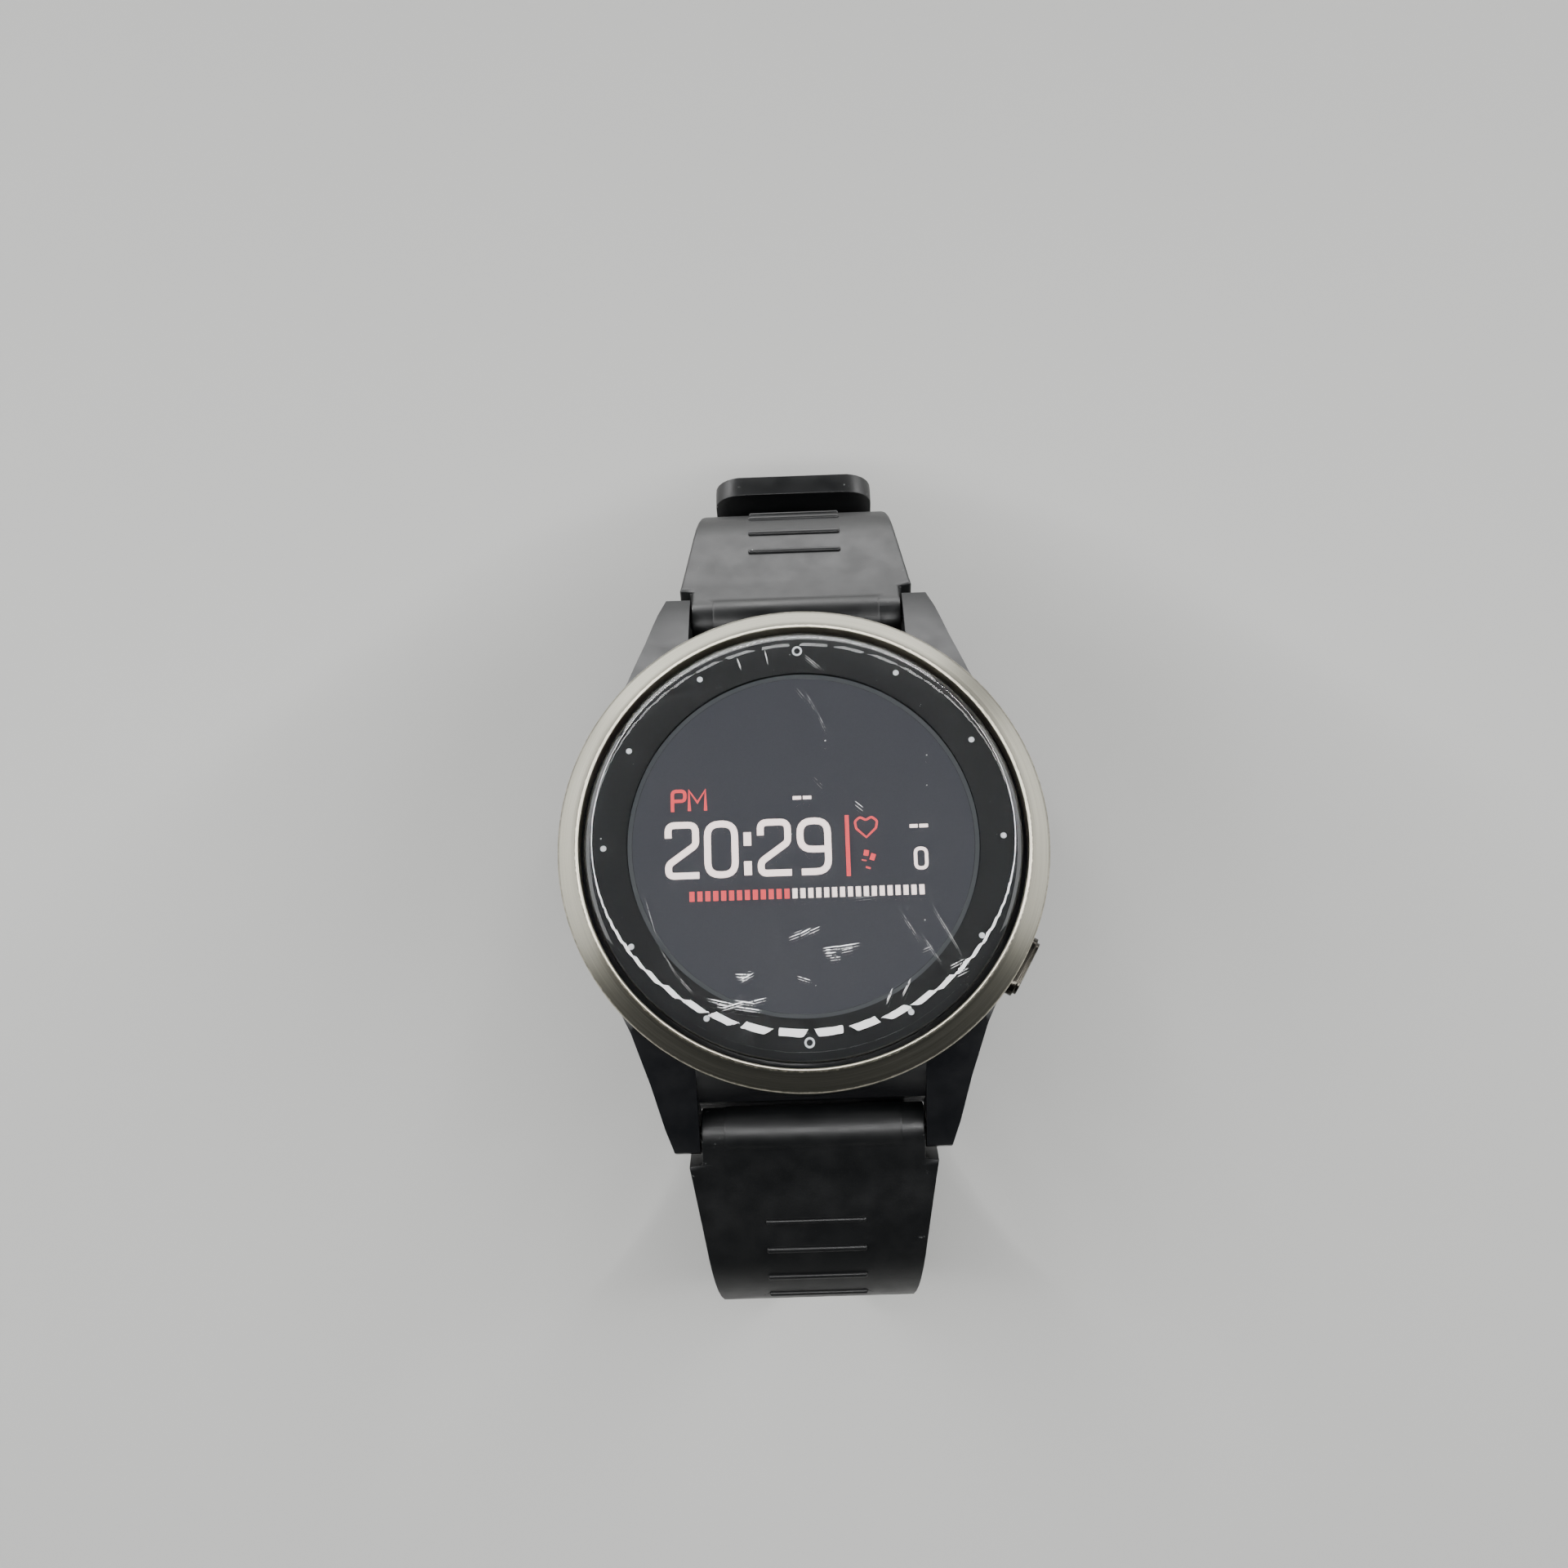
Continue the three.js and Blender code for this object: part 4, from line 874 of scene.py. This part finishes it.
# ---------------------------------------------------------------------------------------------
# Buckle. A frame bent from steel bar and a tongue, both tumbled and coated dark.
settled(edge_broken("buckle_frame", "buckle_loop", width=0.3, segments=3), blackened_steel,
        "dark_steel", "buckle", "buckle_frame")
settled(edge_broken("buckle_tongue", "tongue_pin", width=0.15), blackened_steel, "dark_steel",
        "tongue", "buckle_tongue")

# ---------------------------------------------------------------------------------------------
# Studio: a pale floor, a ring of small lamps above the far side, and three soft wall panels.
# Sizes and places here are in metres.
FLOOR = 3.0
DIAL = (0, 0, 0.043)
RING_LAMPS, LAMP_SIZE, LAMP_RADIANCE = 132, (0.014, 0.02), 42
RING_R, RING_Y, RING_Z = 0.412, 0.35, 0.225
# Each wall panel's place, size and radiance
PANELS = {"far_panel": ((-0.1, 0.85, 0.2), (1.4, 0.4), 6.4),
          "left_panel": ((-0.8, 0.2, 0.2), (0.9, 0.4), 3.6),
          "right_panel": ((0.8, 0.2, 0.2), (0.9, 0.4), 3.0)}
ROOM_STRENGTH = 0.08

bpy.ops.object.select_all(action="DESELECT")
bpy.ops.mesh.primitive_plane_add(size=FLOOR, location=(0, 0, 0))
floor = bpy.context.object
floor.name = "floor"
floor_paint, shader = new_finish("painted_board", "#a9a9a7", 0.8)
grained(floor_paint, shader, size=1.5, depth=0.01, rough=0.8, spread=0.05)
floor.data.materials.append(floor_paint)


def soft_light(name, place, target, size, radiance):
    """A rectangular panel of even brightness that faces its target."""
    light = bpy.data.lights.new(name, "AREA")
    light.shape = "RECTANGLE"
    light.size, light.size_y = size
    light.energy = radiance * math.pi * size[0] * size[1]
    lamp = bpy.data.objects.new(name, light)
    bpy.context.scene.collection.objects.link(lamp)
    lamp.location = place
    lamp.rotation_euler = (Vector(target) - Vector(place)).to_track_quat("-Z", "Y").to_euler()
    lamp.visible_camera = False


for i in range(RING_LAMPS):
    turn = math.tau * (i + 0.5) / RING_LAMPS
    spot = (RING_R * math.cos(turn), RING_Y + RING_R * math.sin(turn), RING_Z)
    soft_light(f"ring_lamp_{i}", spot, DIAL, LAMP_SIZE, LAMP_RADIANCE)
for name, (place, size, radiance) in PANELS.items():
    soft_light(name, place, DIAL, size, radiance)

world = bpy.data.worlds.new("pale_room")
bpy.context.scene.world = world
world.use_nodes = True
world.node_tree.nodes["Background"].inputs["Color"].default_value = colour("#dfe2e6")
world.node_tree.nodes["Background"].inputs["Strength"].default_value = ROOM_STRENGTH

# Camera: held above the near side, looking down on the dial. Its place is in mm.
CAMERA_AT = Vector((0.90, -36.95, 211.65)) * MM
RIGHT, UP = Vector((0.9993, -0.0295, -0.0218)), Vector((0.0339, 0.9694, 0.2431))
AHEAD = Vector((-0.0140, 0.2437, -0.9698))
camera_data = bpy.data.cameras.new("camera")
camera_data.lens = 45
camera_data.sensor_width = 36
camera = bpy.data.objects.new("camera", camera_data)
bpy.context.scene.collection.objects.link(camera)
turn = Matrix((RIGHT, UP, -AHEAD)).transposed().to_4x4()
camera.matrix_world = Matrix.Translation(CAMERA_AT) @ turn
camera_data.clip_start = 0.01
bpy.context.scene.camera = camera
